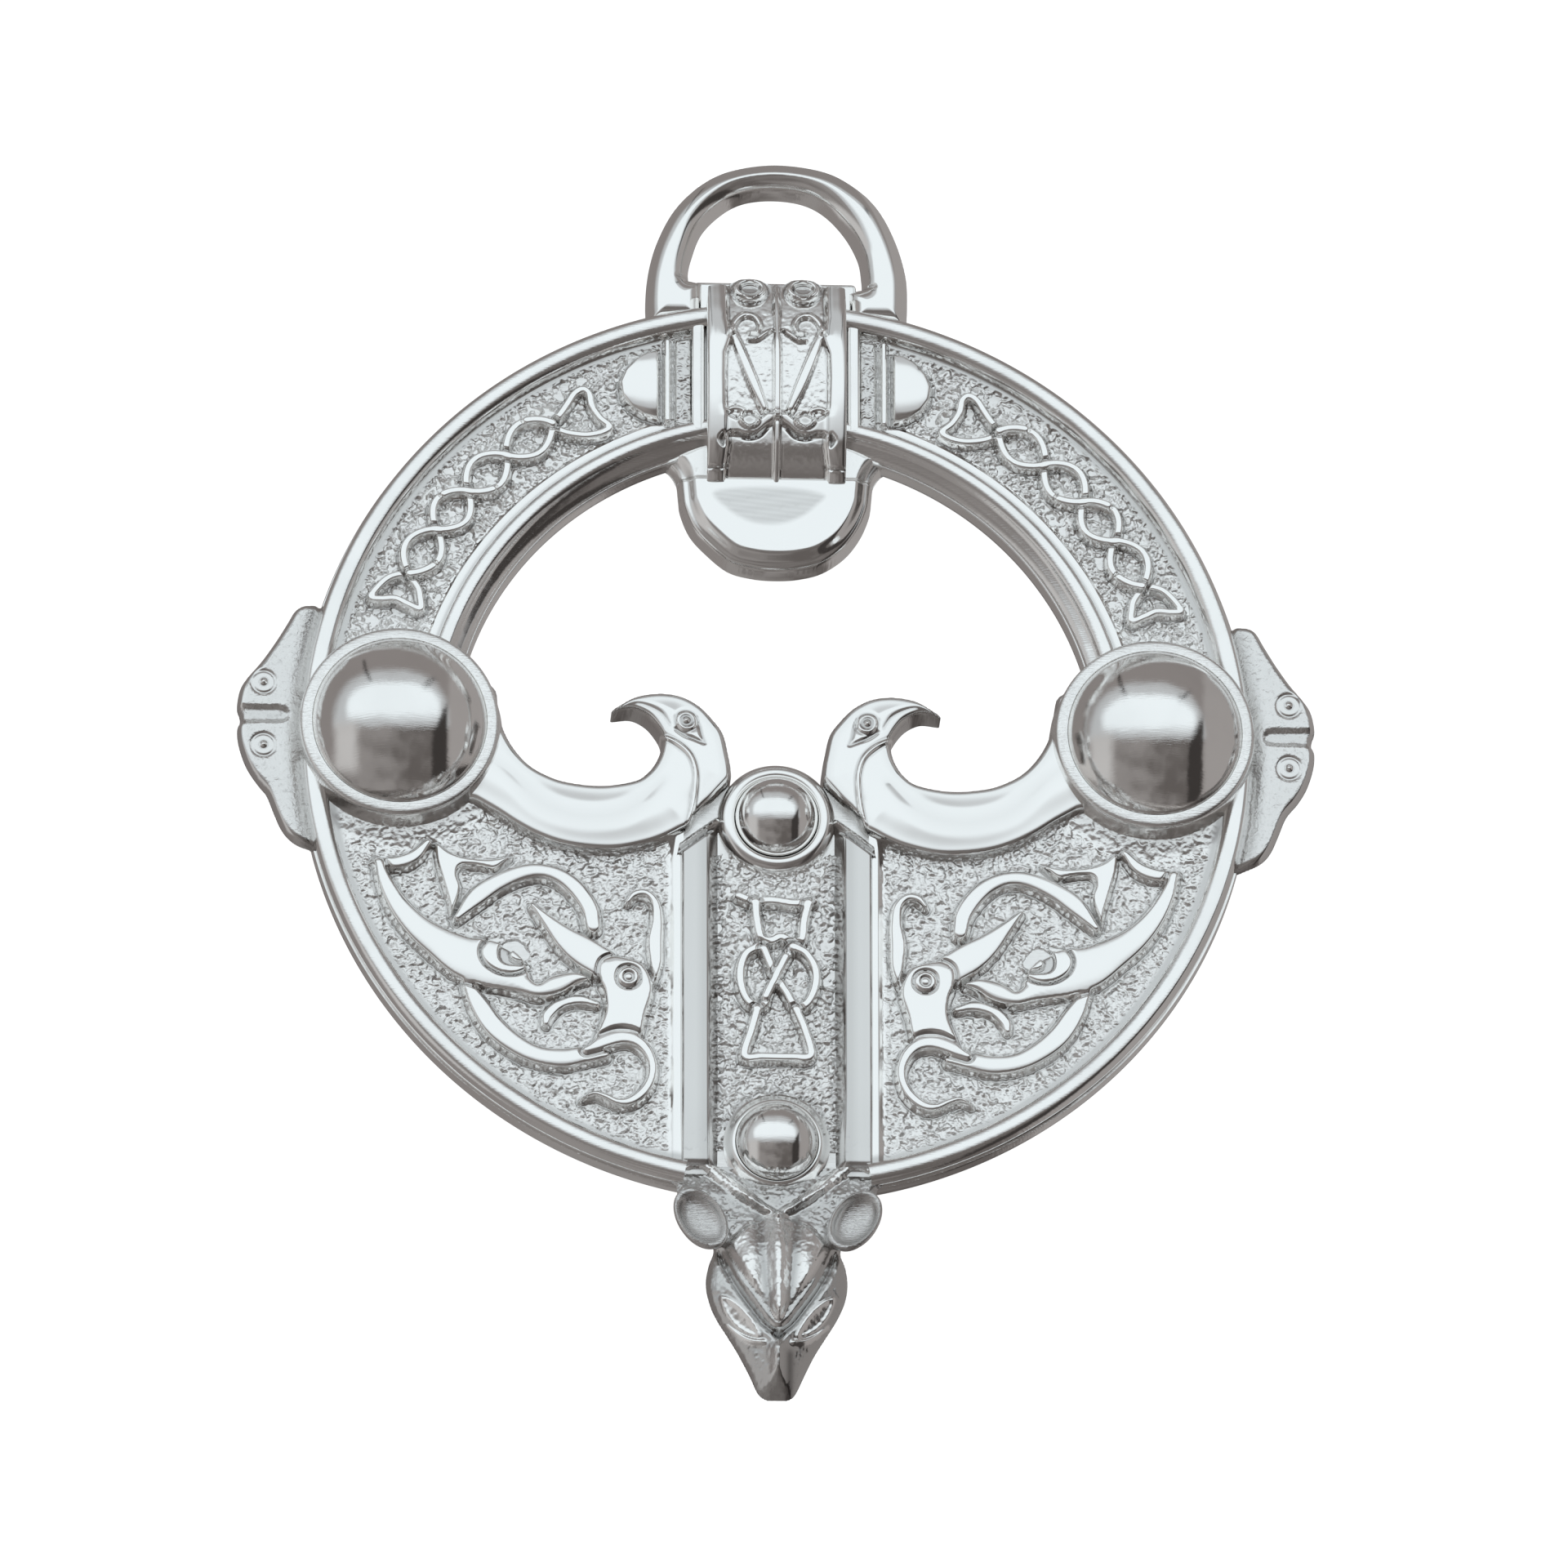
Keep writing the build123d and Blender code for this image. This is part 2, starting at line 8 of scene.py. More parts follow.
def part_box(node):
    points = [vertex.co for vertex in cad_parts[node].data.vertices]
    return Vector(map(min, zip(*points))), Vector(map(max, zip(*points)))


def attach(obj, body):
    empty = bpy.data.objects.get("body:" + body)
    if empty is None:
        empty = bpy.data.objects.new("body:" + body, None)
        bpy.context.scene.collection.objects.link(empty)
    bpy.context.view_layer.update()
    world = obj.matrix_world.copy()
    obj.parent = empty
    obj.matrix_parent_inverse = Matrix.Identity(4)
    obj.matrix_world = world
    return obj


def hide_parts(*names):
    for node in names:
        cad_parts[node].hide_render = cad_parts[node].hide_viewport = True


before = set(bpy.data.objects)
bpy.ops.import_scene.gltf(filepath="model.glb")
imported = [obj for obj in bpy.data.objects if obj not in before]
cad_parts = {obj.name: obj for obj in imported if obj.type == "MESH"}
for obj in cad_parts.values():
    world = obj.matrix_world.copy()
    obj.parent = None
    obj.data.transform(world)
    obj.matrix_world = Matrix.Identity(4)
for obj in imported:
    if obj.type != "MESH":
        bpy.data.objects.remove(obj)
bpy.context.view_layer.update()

# The studio: a long lens that looks at the brooch as it lies on its back, a white floor, and a
# light tent. The tent is a world colour laid out as a polished ball on the floor would show it to
# the lens: across is to the right on the ball, up is away from the lens.
LENS_TILT = radians(21)
LENS_TURN = radians(8)
LENS_ROLL = radians(8.45)
LENS_DISTANCE = 2.5
PICTURE_WIDTH = 0.1117
RING_IN_PICTURE = (-0.00066, 0.00190)


class Wire:
    """A shader socket that takes part in arithmetic: each operation adds its own Math node."""

    def __init__(self, tree, socket):
        self.tree = tree
        self.socket = socket

    def node(self, kind, settings=None, out=0, **inputs):
        new = self.tree.nodes.new(kind)
        for key, value in (settings or {}).items():
            setattr(new, key, value)
        for key, value in inputs.items():
            plug = new.inputs[int(key[1:])] if key[1:].isdigit() else new.inputs[key]
            if isinstance(value, Wire):
                self.tree.links.new(value.socket, plug)
            else:
                plug.default_value = value
        return Wire(self.tree, new.outputs[out]) if len(new.outputs) else None

    def math(self, operation, *values, clamp=False):
        sockets = {f"i{n}": value for n, value in enumerate(values)}
        return self.node("ShaderNodeMath", {"operation": operation, "use_clamp": clamp}, **sockets)

    def __add__(self, other):
        return self.math("ADD", self, other)

    __radd__ = __add__

    def __sub__(self, other):
        return self.math("SUBTRACT", self, other)

    def __rsub__(self, other):
        return self.math("SUBTRACT", other, self)

    def __mul__(self, other):
        return self.math("MULTIPLY", self, other)

    __rmul__ = __mul__

    def __truediv__(self, other):
        return self.math("DIVIDE", self, other)

    def step(self, low, high):
        """0 below low, 1 above high, and smooth between; low above high turns it round."""
        settings = {"interpolation_type": "SMOOTHSTEP"}
        ends = (0.0, 1.0) if low < high else (1.0, 0.0)
        low, high = sorted((low, high))
        return self.node("ShaderNodeMapRange", settings, i0=self, i1=low, i2=high, i3=ends[0], i4=ends[1])

    def between(self, low, high, soft):
        return self.step(low - soft, low + soft) * self.step(high + soft, high - soft)

    def blend(self, first, second):
        """A colour that goes from first to second as this value goes from 0 to 1."""
        return self.node("ShaderNodeMix", {"data_type": "RGBA"}, out=2, i0=self, i6=first, i7=second)


world = bpy.data.worlds.new("light_tent")
bpy.context.scene.world = world
world.use_nodes = True
tree = world.node_tree
tree.nodes.clear()
tent = Wire(tree, tree.nodes.new("ShaderNodeTexCoord").outputs["Generated"])
lens_way = Vector((-sin(LENS_TILT) * sin(LENS_TURN), -sin(LENS_TILT) * cos(LENS_TURN), cos(LENS_TILT)))
held = (-lens_way).to_track_quat("-Z", "Y").to_matrix() @ Matrix.Rotation(LENS_ROLL, 3, "Z")
right_way, up_way = held.col[0], held.col[1]
half = tent.node("ShaderNodeVectorMath", {"operation": "ADD"}, i0=tent, i1=lens_way)
half = tent.node("ShaderNodeVectorMath", {"operation": "NORMALIZE"}, i0=half)
across = half.node("ShaderNodeVectorMath", {"operation": "DOT_PRODUCT"}, out=1, i0=half, i1=right_way)
rise = half.node("ShaderNodeVectorMath", {"operation": "DOT_PRODUCT"}, out=1, i0=half, i1=up_way)
wall = (0.245, 0.226, 0.219, 1)
side_wall = (0.330, 0.312, 0.305, 1)
front_wall = (0.120, 0.108, 0.103, 1)
pale_front = (0.270, 0.255, 0.248, 1)
pale_side = (0.520, 0.512, 0.508, 1)
gap = (0.045, 0.040, 0.038, 1)
glow = (0.50, 0.52, 0.535, 1)
lamp = (0.87, 0.94, 0.975, 1)
blotches = tent.node("ShaderNodeTexNoise", Vector=half, Scale=4.5, Detail=3.0, Roughness=0.55) - 0.5
across = across + blotches * 0.05
rise = rise + blotches * 0.06


def hoop(middle, low, wide, tall, soft):
    """1 inside an oval on the ball, 0 outside it."""
    out = across.math("POWER", across.math("ABSOLUTE", across - middle) / wide, 2.4)
    over = rise.math("POWER", rise.math("ABSOLUTE", rise - low) / tall, 2.4)
    return (out + over).step(1 + soft, 1 - soft)


colour = across.step(0.50, 0.58).blend(wall, side_wall)
colour = (hoop(-0.07, 0.05, 0.62, 0.62, 0.18) * rise.step(0.04, 0.08)).blend(colour, glow)
front = (across + blotches * 1.6).step(-0.40, 0.40).blend(pale_front, front_wall)
colour = (across.between(-0.52, 0.50, 0.05) * rise.step(0.08, 0.03)).blend(colour, front)
colour = (across.between(-0.68, -0.44, 0.06) * rise.between(-0.42, 0.10, 0.08)).blend(colour, pale_side)
wedge = across.between(0.36, 0.53, 0.02) * (rise + across * -1.8).between(-1.45, -0.66, 0.05)
colour = wedge.blend(colour, gap)
seam = (across + rise * 0.35 + 0.115).between(-0.012, 0.012, 0.01) * rise.between(0.52, 0.76, 0.02)
colour = seam.blend(colour, gap)
seam = (across + rise * -1.5 + 0.45).between(-0.03, 0.02, 0.01) * rise.between(0.46, 0.56, 0.02)
colour = seam.blend(colour, gap)
colour = (hoop(-0.05, 0.24, 0.50, 0.30, 0.2) * rise.step(0.10, 0.22)).blend(colour, lamp)
light = tent.node("ShaderNodeBackground", i0=colour, i1=1.0)
light.node("ShaderNodeOutputWorld", i0=light)

bpy.ops.mesh.primitive_plane_add(size=3)
floor = bpy.context.object
floor.name = "floor"
floor.visible_glossy = False
paper = bpy.data.materials.new("white_paper")
paper.use_nodes = True
shader = paper.node_tree.nodes["Principled BSDF"]
shader.inputs["Base Color"].default_value = (0.30, 0.30, 0.30, 1)
shader.inputs["Roughness"].default_value = 0.9
shader.inputs["Specular IOR Level"].default_value = 0.0
shader.inputs["Emission Color"].default_value = (1, 1, 1, 1)
shader.inputs["Emission Strength"].default_value = 0.97
floor.data.materials.append(paper)

LOOP_TOP = 0.0449
low_corner, high_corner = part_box("casting")
ring_middle = Vector((0, high_corner.y - LOOP_TOP, low_corner.z))
aim = ring_middle - right_way * RING_IN_PICTURE[0] - up_way * RING_IN_PICTURE[1]
bpy.ops.object.camera_add(location=aim + lens_way * LENS_DISTANCE)
camera = bpy.context.object
camera.rotation_euler = held.to_euler()
camera.data.sensor_width = 36
camera.data.lens = 36 * LENS_DISTANCE / PICTURE_WIDTH
bpy.context.scene.camera = camera
bpy.context.scene.view_settings.view_transform = "Standard"

# Back plate: the flat slab of cast silver behind everything, pierced by the crescent, with its back
# left as it came from the mould and rubbed down. Everything of the casting is laid out in
# millimetres round the middle of the ring, from the flat back up, and then set on the frame.
PLATE_THICKNESS = 1.5
PLATE_RADIUS = 33.9
PLATE_EDGE = 0.12
OPENING_RADIUS = 23.0
MM = 0.001


def points_of(piece):
    points = np.empty(len(piece.data.vertices) * 3, np.float32)
    piece.data.vertices.foreach_get("co", points)
    return points.reshape(-1, 3).astype(float)


def put_points(piece, points):
    piece.data.vertices.foreach_set("co", np.asarray(points, np.float32).ravel())
    piece.data.update()


def smooth(value):
    value = np.clip(value, 0, 1)
    return value * value * (3 - 2 * value)


def flow(rows, closed=False, steps=8):
    """A smooth line through given rows; anything after x and y runs along with them."""
    rows = np.array(rows, float)
    if closed:
        ends = np.vstack([rows[-1:], rows, rows[:2]])
    else:
        ends = np.vstack([2 * rows[0] - rows[1], rows, 2 * rows[-1] - rows[-2]])
    t = np.linspace(0, 1, steps, endpoint=False)[:, None]
    runs = []
    for a, b, c, d in zip(ends, ends[1:], ends[2:], ends[3:]):
        bend = (2 * a - 5 * b + 4 * c - d) * t**2 + (3 * b - a - 3 * c + d) * t**3
        runs.append(0.5 * (2 * b + (c - a) * t + bend))
    if not closed:
        runs.append(rows[-1:])
    return np.vstack(runs)


def start_piece(name):
    piece = bpy.context.object
    piece.name = name
    piece.data.name = name
    return piece


def pick_up(piece):
    bpy.ops.object.select_all(action="DESELECT")
    piece.select_set(True)
    bpy.context.view_layer.objects.active = piece


def start_edit(select="SELECT"):
    bpy.ops.object.mode_set(mode="EDIT")
    bpy.ops.mesh.select_all(action=select)


def end_edit():
    bpy.ops.object.mode_set(mode="OBJECT")


def tidy_mesh(piece):
    """Merges a piece's double points and turns its faces outwards."""
    pick_up(piece)
    start_edit()
    bpy.ops.mesh.remove_doubles(threshold=0.0005)
    bpy.ops.mesh.normals_make_consistent(inside=False)
    end_edit()


def other_side(piece, name):
    """A copy of a left-hand piece, mirrored to the right, with its own mesh."""
    pick_up(piece)
    bpy.ops.object.duplicate()
    copy = start_piece(name)
    put_points(copy, points_of(copy) * (-1, 1, 1))
    start_edit()
    bpy.ops.mesh.flip_normals()
    end_edit()
    return copy


def set_on_frame(piece, finish, sharp=40, at=(0, 0)):
    """Shades a piece, gives it its finish, and moves it from its bench place onto the frame."""
    pick_up(piece)
    bpy.ops.object.shade_smooth_by_angle(angle=radians(sharp))
    put_points(piece, (points_of(piece) + (at[0], at[1], 0)) * MM + np.array(ring_middle))
    piece.data.materials.clear()
    piece.data.materials.append(finish)
    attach(piece, "root")


def start_finish(name, colour, roughness):
    finish = bpy.data.materials.new(name)
    finish.use_nodes = True
    finish.diffuse_color = (*colour, 1)
    shader = finish.node_tree.nodes["Principled BSDF"]
    shader.inputs["Metallic"].default_value = 1.0
    shader.inputs["Base Color"].default_value = (*colour, 1)
    shader.inputs["Roughness"].default_value = roughness
    place = Wire(finish.node_tree, finish.node_tree.nodes.new("ShaderNodeTexCoord").outputs["Object"])
    return finish, shader, place


def wire_into(shader, plug, value):
    value.tree.links.new(value.socket, shader.inputs[plug])


def noise(place, size, detail=2.0, rough=0.5, distort=0.0):
    """Noise between about 0 and 1, with its size in millimetres."""
    sockets = {"Scale": 1 / (size * MM), "Detail": detail, "Roughness": rough, "Distortion": distort}
    return place.node("ShaderNodeTexNoise", Vector=place, **sockets)


SILVER = (0.95, 0.943, 0.93)
# The dark colour of painted shade and tarnish.
SHADE_AND_TARNISH_SILVER = (0.20, 0.187, 0.18)


def cast_finish(name, grain_size, grain_depth, polish=0.10, matt=0.30, shade_and_tarnish_colour=SHADE_AND_TARNISH_SILVER):
    """Cast silver: polished raised work on a matt ground, darkened with painted shade and tarnish."""
    finish, shader, place = start_finish(name, SILVER, matt)
    ground = place.node("ShaderNodeAttribute", {"attribute_name": "ground"}, out=2)
    shade_and_tarnish = place.node("ShaderNodeAttribute", {"attribute_name": "shade_and_tarnish"}, out=2)
    patches = noise(place, 3.0)
    worms = noise(place, grain_size, 1.5, 0.55, 0.6)
    fine = noise(place, grain_size * 0.35, 2.0, 0.5)
    # Painted shade and tarnish from the mark, and the dark lines of the grain.
    shade_and_tarnish_strength = place.math("MINIMUM", shade_and_tarnish * 0.75 + ground * worms.step(0.42, 0.22) * 0.2, 1.0)
    wire_into(shader, "Base Color", shade_and_tarnish_strength.blend((*SILVER, 1), (*shade_and_tarnish_colour, 1)))
    wire_into(shader, "Roughness", ground * (matt - polish) + patches * 0.10 + (polish - 0.03))
    height = (worms + fine * 0.35) * ground + noise(place, 1.6, 3.0) * 0.10 * (1 - ground)
    bump = place.node("ShaderNodeBump", Height=height, Strength=1.0, Distance=grain_depth * MM)
    wire_into(shader, "Normal", bump)
    return finish


def polished_finish(name, roughness, scratches, dents, colour=SILVER):
    """Hand-polished silver: a mirror with a little waviness and hair lines from the buff."""
    finish, shader, place = start_finish(name, colour, roughness)
    hairs = place.node("ShaderNodeMapping", Vector=place, Rotation=(0, 0, 0.6), Scale=(1, 14, 1))
    hairs = noise(hairs, 1.2, 3.0, 0.65)
    wear = noise(place, 5.0, 3.0)
    wire_into(shader, "Roughness", wear * 0.14 + hairs * 0.06 + (roughness - 0.08))
    worn = [0.94 * part for part in colour]
    wire_into(shader, "Base Color", wear.step(0.35, 0.75).blend((*colour, 1), (*worn, 1)))
    height = noise(place, 2.5, 2.0) * (dents / scratches) + hairs
    bump = place.node("ShaderNodeBump", Height=height, Strength=1.0, Distance=scratches * MM)
    wire_into(shader, "Normal", bump)
    return finish


def both_halves(half, tip):
    """A run of points on one side, a point on the middle line, and the run back on the other side."""
    return half + [tip] + [(-x, y) for x, y in reversed(half)]


def oval(x, y, across, tall, count, *half_width):
    turns = np.linspace(0, 2 * pi, count, endpoint=False)
    return [(x + across * cos(a), y + tall * sin(a), *half_width) for a in turns]


back_silver = polished_finish("rubbed_back_silver", 0.30, 0.02, 0.03)
under_arms = [
    (-21.5, 4), (-20.6, 1), (-19.2, -2.5), (-15.5, -5), (-12, -5.5), (-8.5, -5), (-6.6, -3.6),
    (-5, -3.2), (-4, -3.2), (-3, -2.6), (-1.5, -1.7),
]
turns = np.radians(np.linspace(12, 168, 140))
over = [(OPENING_RADIUS * cos(a), OPENING_RADIUS * sin(a)) for a in turns]
drawing = bpy.data.curves.new("back_plate", "CURVE")
drawing.dimensions = "2D"
drawing.fill_mode = "BOTH"
drawing.extrude = PLATE_THICKNESS / 2 - PLATE_EDGE
drawing.bevel_depth = PLATE_EDGE
drawing.bevel_resolution = 2
drawing.offset = -PLATE_EDGE
for outline in (oval(0, 0, PLATE_RADIUS, PLATE_RADIUS, 360), both_halves(under_arms, (0, -1.5)) + over):
    spline = drawing.splines.new("POLY")
    spline.points.add(len(outline) - 1)
    spline.points.foreach_set("co", [c for x, y in outline for c in (x, y, 0, 1)])
    spline.use_cyclic_u = True
plate = bpy.data.objects.new("back_plate", drawing)
bpy.context.scene.collection.objects.link(plate)
pick_up(plate)
bpy.ops.object.convert(target="MESH")
plate = start_piece("back_plate")
put_points(plate, points_of(plate) + (0, 0, PLATE_THICKNESS / 2))
tidy_mesh(plate)
set_on_frame(plate, back_silver)
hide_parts("casting")

# Outer rim: a rounded, polished bead cast round the plate, over a thin lip at the plate's edge. It
# stops at the bars' feet, where the mask's shoulders take over.
rim_profile = [
    (32.12, 1.3), (32.14, 1.9), (32.22, 2.35), (32.36, 2.68), (32.56, 2.88), (32.8, 2.97), (33.1, 3),
    (33.4, 2.96), (33.6, 2.84), (33.75, 2.6), (33.82, 2.3), (33.82, 2), (33.77, 1.72), (33.74, 1.56),
    (33.78, 1.52), (33.94, 1.52), (34, 1.4), (34, 0.35), (33.93, 0.16), (33.8, 0.06), (32.12, 0.06),
]
FOOT_ANGLE = 11.4


def turned(name, profile, start=0, sweep=360, steps=180):
    """A closed outline of (distance out, height) points, turned about the upright axis."""
    whole = sweep == 360
    bpy.ops.mesh.primitive_circle_add(vertices=len(profile), fill_type="NOTHING" if whole else "NGON")
    piece = start_piece(name)
    turn = radians(start)
    put_points(piece, [(out * cos(turn), out * sin(turn), up) for out, up in profile])
    start_edit()
    bpy.ops.mesh.spin(steps=steps, angle=-radians(sweep), center=(0, 0, 0), axis=(0, 0, 1))
    end_edit()
    tidy_mesh(piece)
    return piece


bright_silver = polished_finish("bright_silver", 0.09, 0.010, 0.05)
rim = turned("outer_rim", rim_profile, FOOT_ANGLE - 90, 360 - 2 * FOOT_ANGLE, 340)
set_on_frame(rim, bright_silver)

# Ridge round the opening: a polished bead whose inner side falls in a long curve to the opening's
# wall. It runs from bezel to bezel over the top.
ridge_profile = [
    (25.4, 1.3), (25.38, 2), (25.32, 2.42), (25.18, 2.62), (24.95, 2.71), (24.6, 2.71), (24.36, 2.62),
    (24.2, 2.45), (24.08, 2.25), (23.9, 2.1), (23.6, 1.96), (23.3, 1.75), (23.08, 1.45), (22.95, 1.05),
    (22.9, 0.6), (22.9, 0.15), (23.02, 0.04), (25.4, 0.04),
]
ridge = turned("opening_ridge", ridge_profile, 15, 150, 240)
set_on_frame(ridge, bright_silver, 50)

# Upper panels: the two runs of interlace between the strap and the bezels, cast in one with the
# plate. A pair of cords twists down the middle, ends in a bell at each end, and stands on a
# punched ground; a half-oval boss, a cord and a block close the end beside the strap.
GROUND = 1.7
RELIEF = 2.45
LEAN = 0.22
CORD_HALF = 0.4
PANEL_MIDDLE = 28.93
PANEL_FOOT = 1.2
GRAIN = 0.5
RIM_INSIDE = 32.3


def bench_sheet(name, columns, rows):
    """A grid of unit size whose points are then laid out and raised; returns u and v from 0 to 1."""
    bpy.ops.mesh.primitive_grid_add(x_subdivisions=columns, y_subdivisions=rows, size=1)
    piece = start_piece(name)
    points = points_of(piece)
    return piece, points[:, 0] + 0.5, points[:, 1] + 0.5


def close_below(piece, low, narrow=1.0, middle=(0, 0)):
    """Takes the sheet's edge down, drawn in towards a middle if wanted, and closes it underneath."""
    pick_up(piece)
    start_edit("DESELECT")
    bpy.ops.mesh.select_mode(type="EDGE")
    bpy.ops.mesh.select_non_manifold(
        extend=False, use_wire=False, use_multi_face=False, use_non_contiguous=False, use_verts=False
    )
    bpy.ops.mesh.extrude_edges_move()
    bpy.ops.transform.resize(value=(narrow, narrow, 0), center_override=(*middle, low))
    bpy.ops.mesh.edge_face_add()
    bpy.ops.mesh.select_mode(type="VERT")
    bpy.ops.mesh.select_all(action="SELECT")
    bpy.ops.mesh.normals_make_consistent(inside=False)
    end_edit()


def keep_only(piece, kept):
    """Takes away every point of a sheet that isn't marked to be kept."""
    start_edit("DESELECT")
    bpy.ops.mesh.select_mode(type="VERT")
    end_edit()
    piece.data.vertices.foreach_set("select", ~kept)
    bpy.ops.object.mode_set(mode="EDIT")
    bpy.ops.mesh.delete(type="VERT")
    bpy.ops.mesh.select_all(action="SELECT")
    end_edit()


def from_segment(x, y, ax, ay, bx, by):
    """How far along a to b the nearest point to each x, y lies, and how far off it is."""
    dx, dy = bx - ax, by - ay
    t = np.clip(((x - ax) * dx + (y - ay) * dy) / (dx * dx + dy * dy + 1e-9), 0, 1)
    return t, np.hypot(x - ax - dx * t, y - ay - dy * t)


def apart_from(x, y, line):
    """Depth inside a closed outline, and the outline's nearest point."""
    line = np.vstack([line, line[:1]])
    apart = np.full(x.shape, 99.0)
    near_x, near_y = x.copy(), y.copy()
    inside = np.zeros(x.shape, bool)
    for (ax, ay), (bx, by) in zip(line, line[1:]):
        t, gap = from_segment(x, y, ax, ay, bx, by)
        closer = gap < apart
        apart = np.where(closer, gap, apart)
        near_x = np.where(closer, ax + (bx - ax) * t, near_x)
        near_y = np.where(closer, ay + (by - ay) * t, near_y)
        if ay != by:
            inside ^= ((ay > y) != (by > y)) & (x < ax + (y - ay) * (bx - ax) / (by - ay))
    return np.where(inside, apart, -apart), near_x, near_y


def rounded(value):
    """A quarter round: rises steeply from 0 and lies flat from 1 on."""
    return np.sqrt(1 - (1 - np.clip(value, 0, 1)) ** 2)


def hump(value, width):
    """1 where the value is 0, falling to nothing beyond the width."""
    return np.exp(-((value / width) ** 2))


class Wax:
    """Heights over x and y, built up stroke by stroke as the wax for the mould was.

    The ground mark is 1 where the metal stays matt. The shade and tarnish mark darkens the colour:
    painted shade in hollows, along edges and down slopes, and tarnish.
    """

    def __init__(self, x, y, height):
        self.x = x
        self.y = y
        self.height = np.zeros(x.shape) + height
        self.ground = np.ones(x.shape)
        self.shade_and_tarnish = np.zeros(x.shape)

    def near(self, rows, reach):
        low = rows[:, :2].min(0) - reach
        high = rows[:, :2].max(0) + reach
        inside = (self.x > low[0]) & (self.x < high[0]) & (self.y > low[1]) & (self.y < high[1])
        return np.nonzero(inside)[0]

    def band(self, rows, closed=False, steps=8):
        """Depth inside a band whose rows are x, y and half width, and the half width there."""
        line = flow(rows, closed, steps)
        if closed:
            line = np.vstack([line, line[:1]])
        pick = self.near(line, line[:, 2].max() + 1)
        x, y = self.x[pick], self.y[pick]
        best = np.full(pick.shape, -9.0)
        wide = np.full(pick.shape, 1.0)
        for (ax, ay, aw), (bx, by, bw) in zip(line, line[1:]):
            t, gap = from_segment(x, y, ax, ay, bx, by)
            half = aw + (bw - aw) * t
            depth = half - gap
            closer = depth > best
            best = np.where(closer, depth, best)
            wide = np.where(closer, half, wide)
        return pick, best, wide

    def area(self, rows, steps=6, corners=False):
        """Depth inside a closed outline."""
        line = np.array(rows, float) if corners else flow(rows, True, steps)
        pick = self.near(line, 1.0)
        return pick, apart_from(self.x[pick], self.y[pick], line)[0], np.full(pick.shape, 1.0)

    def lay(
        self, shape, top, bevel=0.22, crown=0.12, moat=0.2, cut=0.1,
        spare=None, matt=0.0, over=False, shade_and_tarnish_strength=0.6,
    ):
        """Raises a shape to a level, or over what is there, with a rounded edge and a moat round it.

        Bevel is the width of the rounded edge, crown the extra height of the middle, and moat and
        cut are the width and depth of the moat. Points marked in spare get no moat. The moat and
        the rounded edge are darkened with painted shade and tarnish.
        """
        pick, depth, wide = shape
        here = self.height[pick]
        foot = here - np.where(over | (here < GROUND + 0.3), cut, 0.22)
        top = here + top if over else top
        rise = smooth(depth / bevel)
        dome = 1 - (1 - np.clip(depth / wide, 0, 1)) ** 2
        raised = foot + (top - foot) * rise + crown * dome
        edge = smooth(1 + depth / moat)
        if spare is not None:
            edge = np.where(spare[pick], 0, edge)
        self.height[pick] = np.where(depth > 0, raised, here + (foot - here) * edge)
        self.ground[pick] = np.where(depth > 0, matt, self.ground[pick] * (1 - 0.8 * edge))
        # Painted shade and tarnish in the moat and down the rounded edge.
        line = edge * np.where(depth > 0, np.clip(1 - depth / (0.5 * bevel), 0, 1), 1)
        self.shade_and_tarnish[pick] = np.where(depth > 0, shade_and_tarnish_strength * line, np.maximum(self.shade_and_tarnish[pick], shade_and_tarnish_strength * edge))

    def carve(self, shape, depth_cut, soft=0.12, shade_and_tarnish_strength=0.7):
        """Engraves a line or sinks an area below where it is."""
        pick, depth, _ = shape
        sunk = smooth((depth + soft) / (2 * soft))
        self.height[pick] -= depth_cut * sunk
        # The cut gets painted shade and tarnish.
        self.shade_and_tarnish[pick] = np.maximum(self.shade_and_tarnish[pick], shade_and_tarnish_strength * sunk)

    def whole(self, shape):
        """Where a shape covers the sheet, for all of its points."""
        covered = np.zeros(self.x.shape, bool)
        covered[shape[0]] = shape[1] > 0
        return covered

    def put_on(self, piece):
        put_points(piece, np.column_stack([self.x, self.y, self.height]))
        for name, values in (("ground", self.ground), ("shade_and_tarnish", self.shade_and_tarnish)):
            mark = piece.data.attributes.new(name, "FLOAT", "POINT")
            mark.data.foreach_set("value", np.clip(values, 0, 1).astype(np.float32))


def soften(piece, rounds):
    """Melts the relief's hard edges a little, as casting and polishing do; only heights change."""
    pick_up(piece)
    melt = piece.modifiers.new("melt", "SMOOTH")
    melt.use_x = False
    melt.use_y = False
    melt.factor = 0.5
    melt.iterations = rounds
    bpy.ops.object.modifier_apply(modifier=melt.name)


def punch_ground(piece, depth, size):
    """Punches the matt ground: a displacement that only works where the ground mark is."""
    pick_up(piece)
    group = piece.vertex_groups.new(name="ground")
    share = np.empty(len(piece.data.vertices), np.float32)
    piece.data.attributes["ground"].data.foreach_get("value", share)
    steps = np.round(share * 20).astype(int)
    for step in range(1, 21):
        group.add([int(i) for i in np.nonzero(steps == step)[0]], step / 20, "REPLACE")
    grain = bpy.data.textures.new("punched_ground", "DISTORTED_NOISE")
    grain.noise_basis = "BLENDER_ORIGINAL"
    grain.noise_distortion = "IMPROVED_PERLIN"
    grain.noise_scale = size
    grain.distortion = 1.4
    push = piece.modifiers.new("punch", "DISPLACE")
    push.texture = grain
    push.texture_coords = "LOCAL"
    push.direction = "Z"
    push.strength = depth
    push.mid_level = 0.5
    push.vertex_group = group.name
    bpy.ops.object.modifier_apply(modifier=push.name)
    piece.vertex_groups.clear()


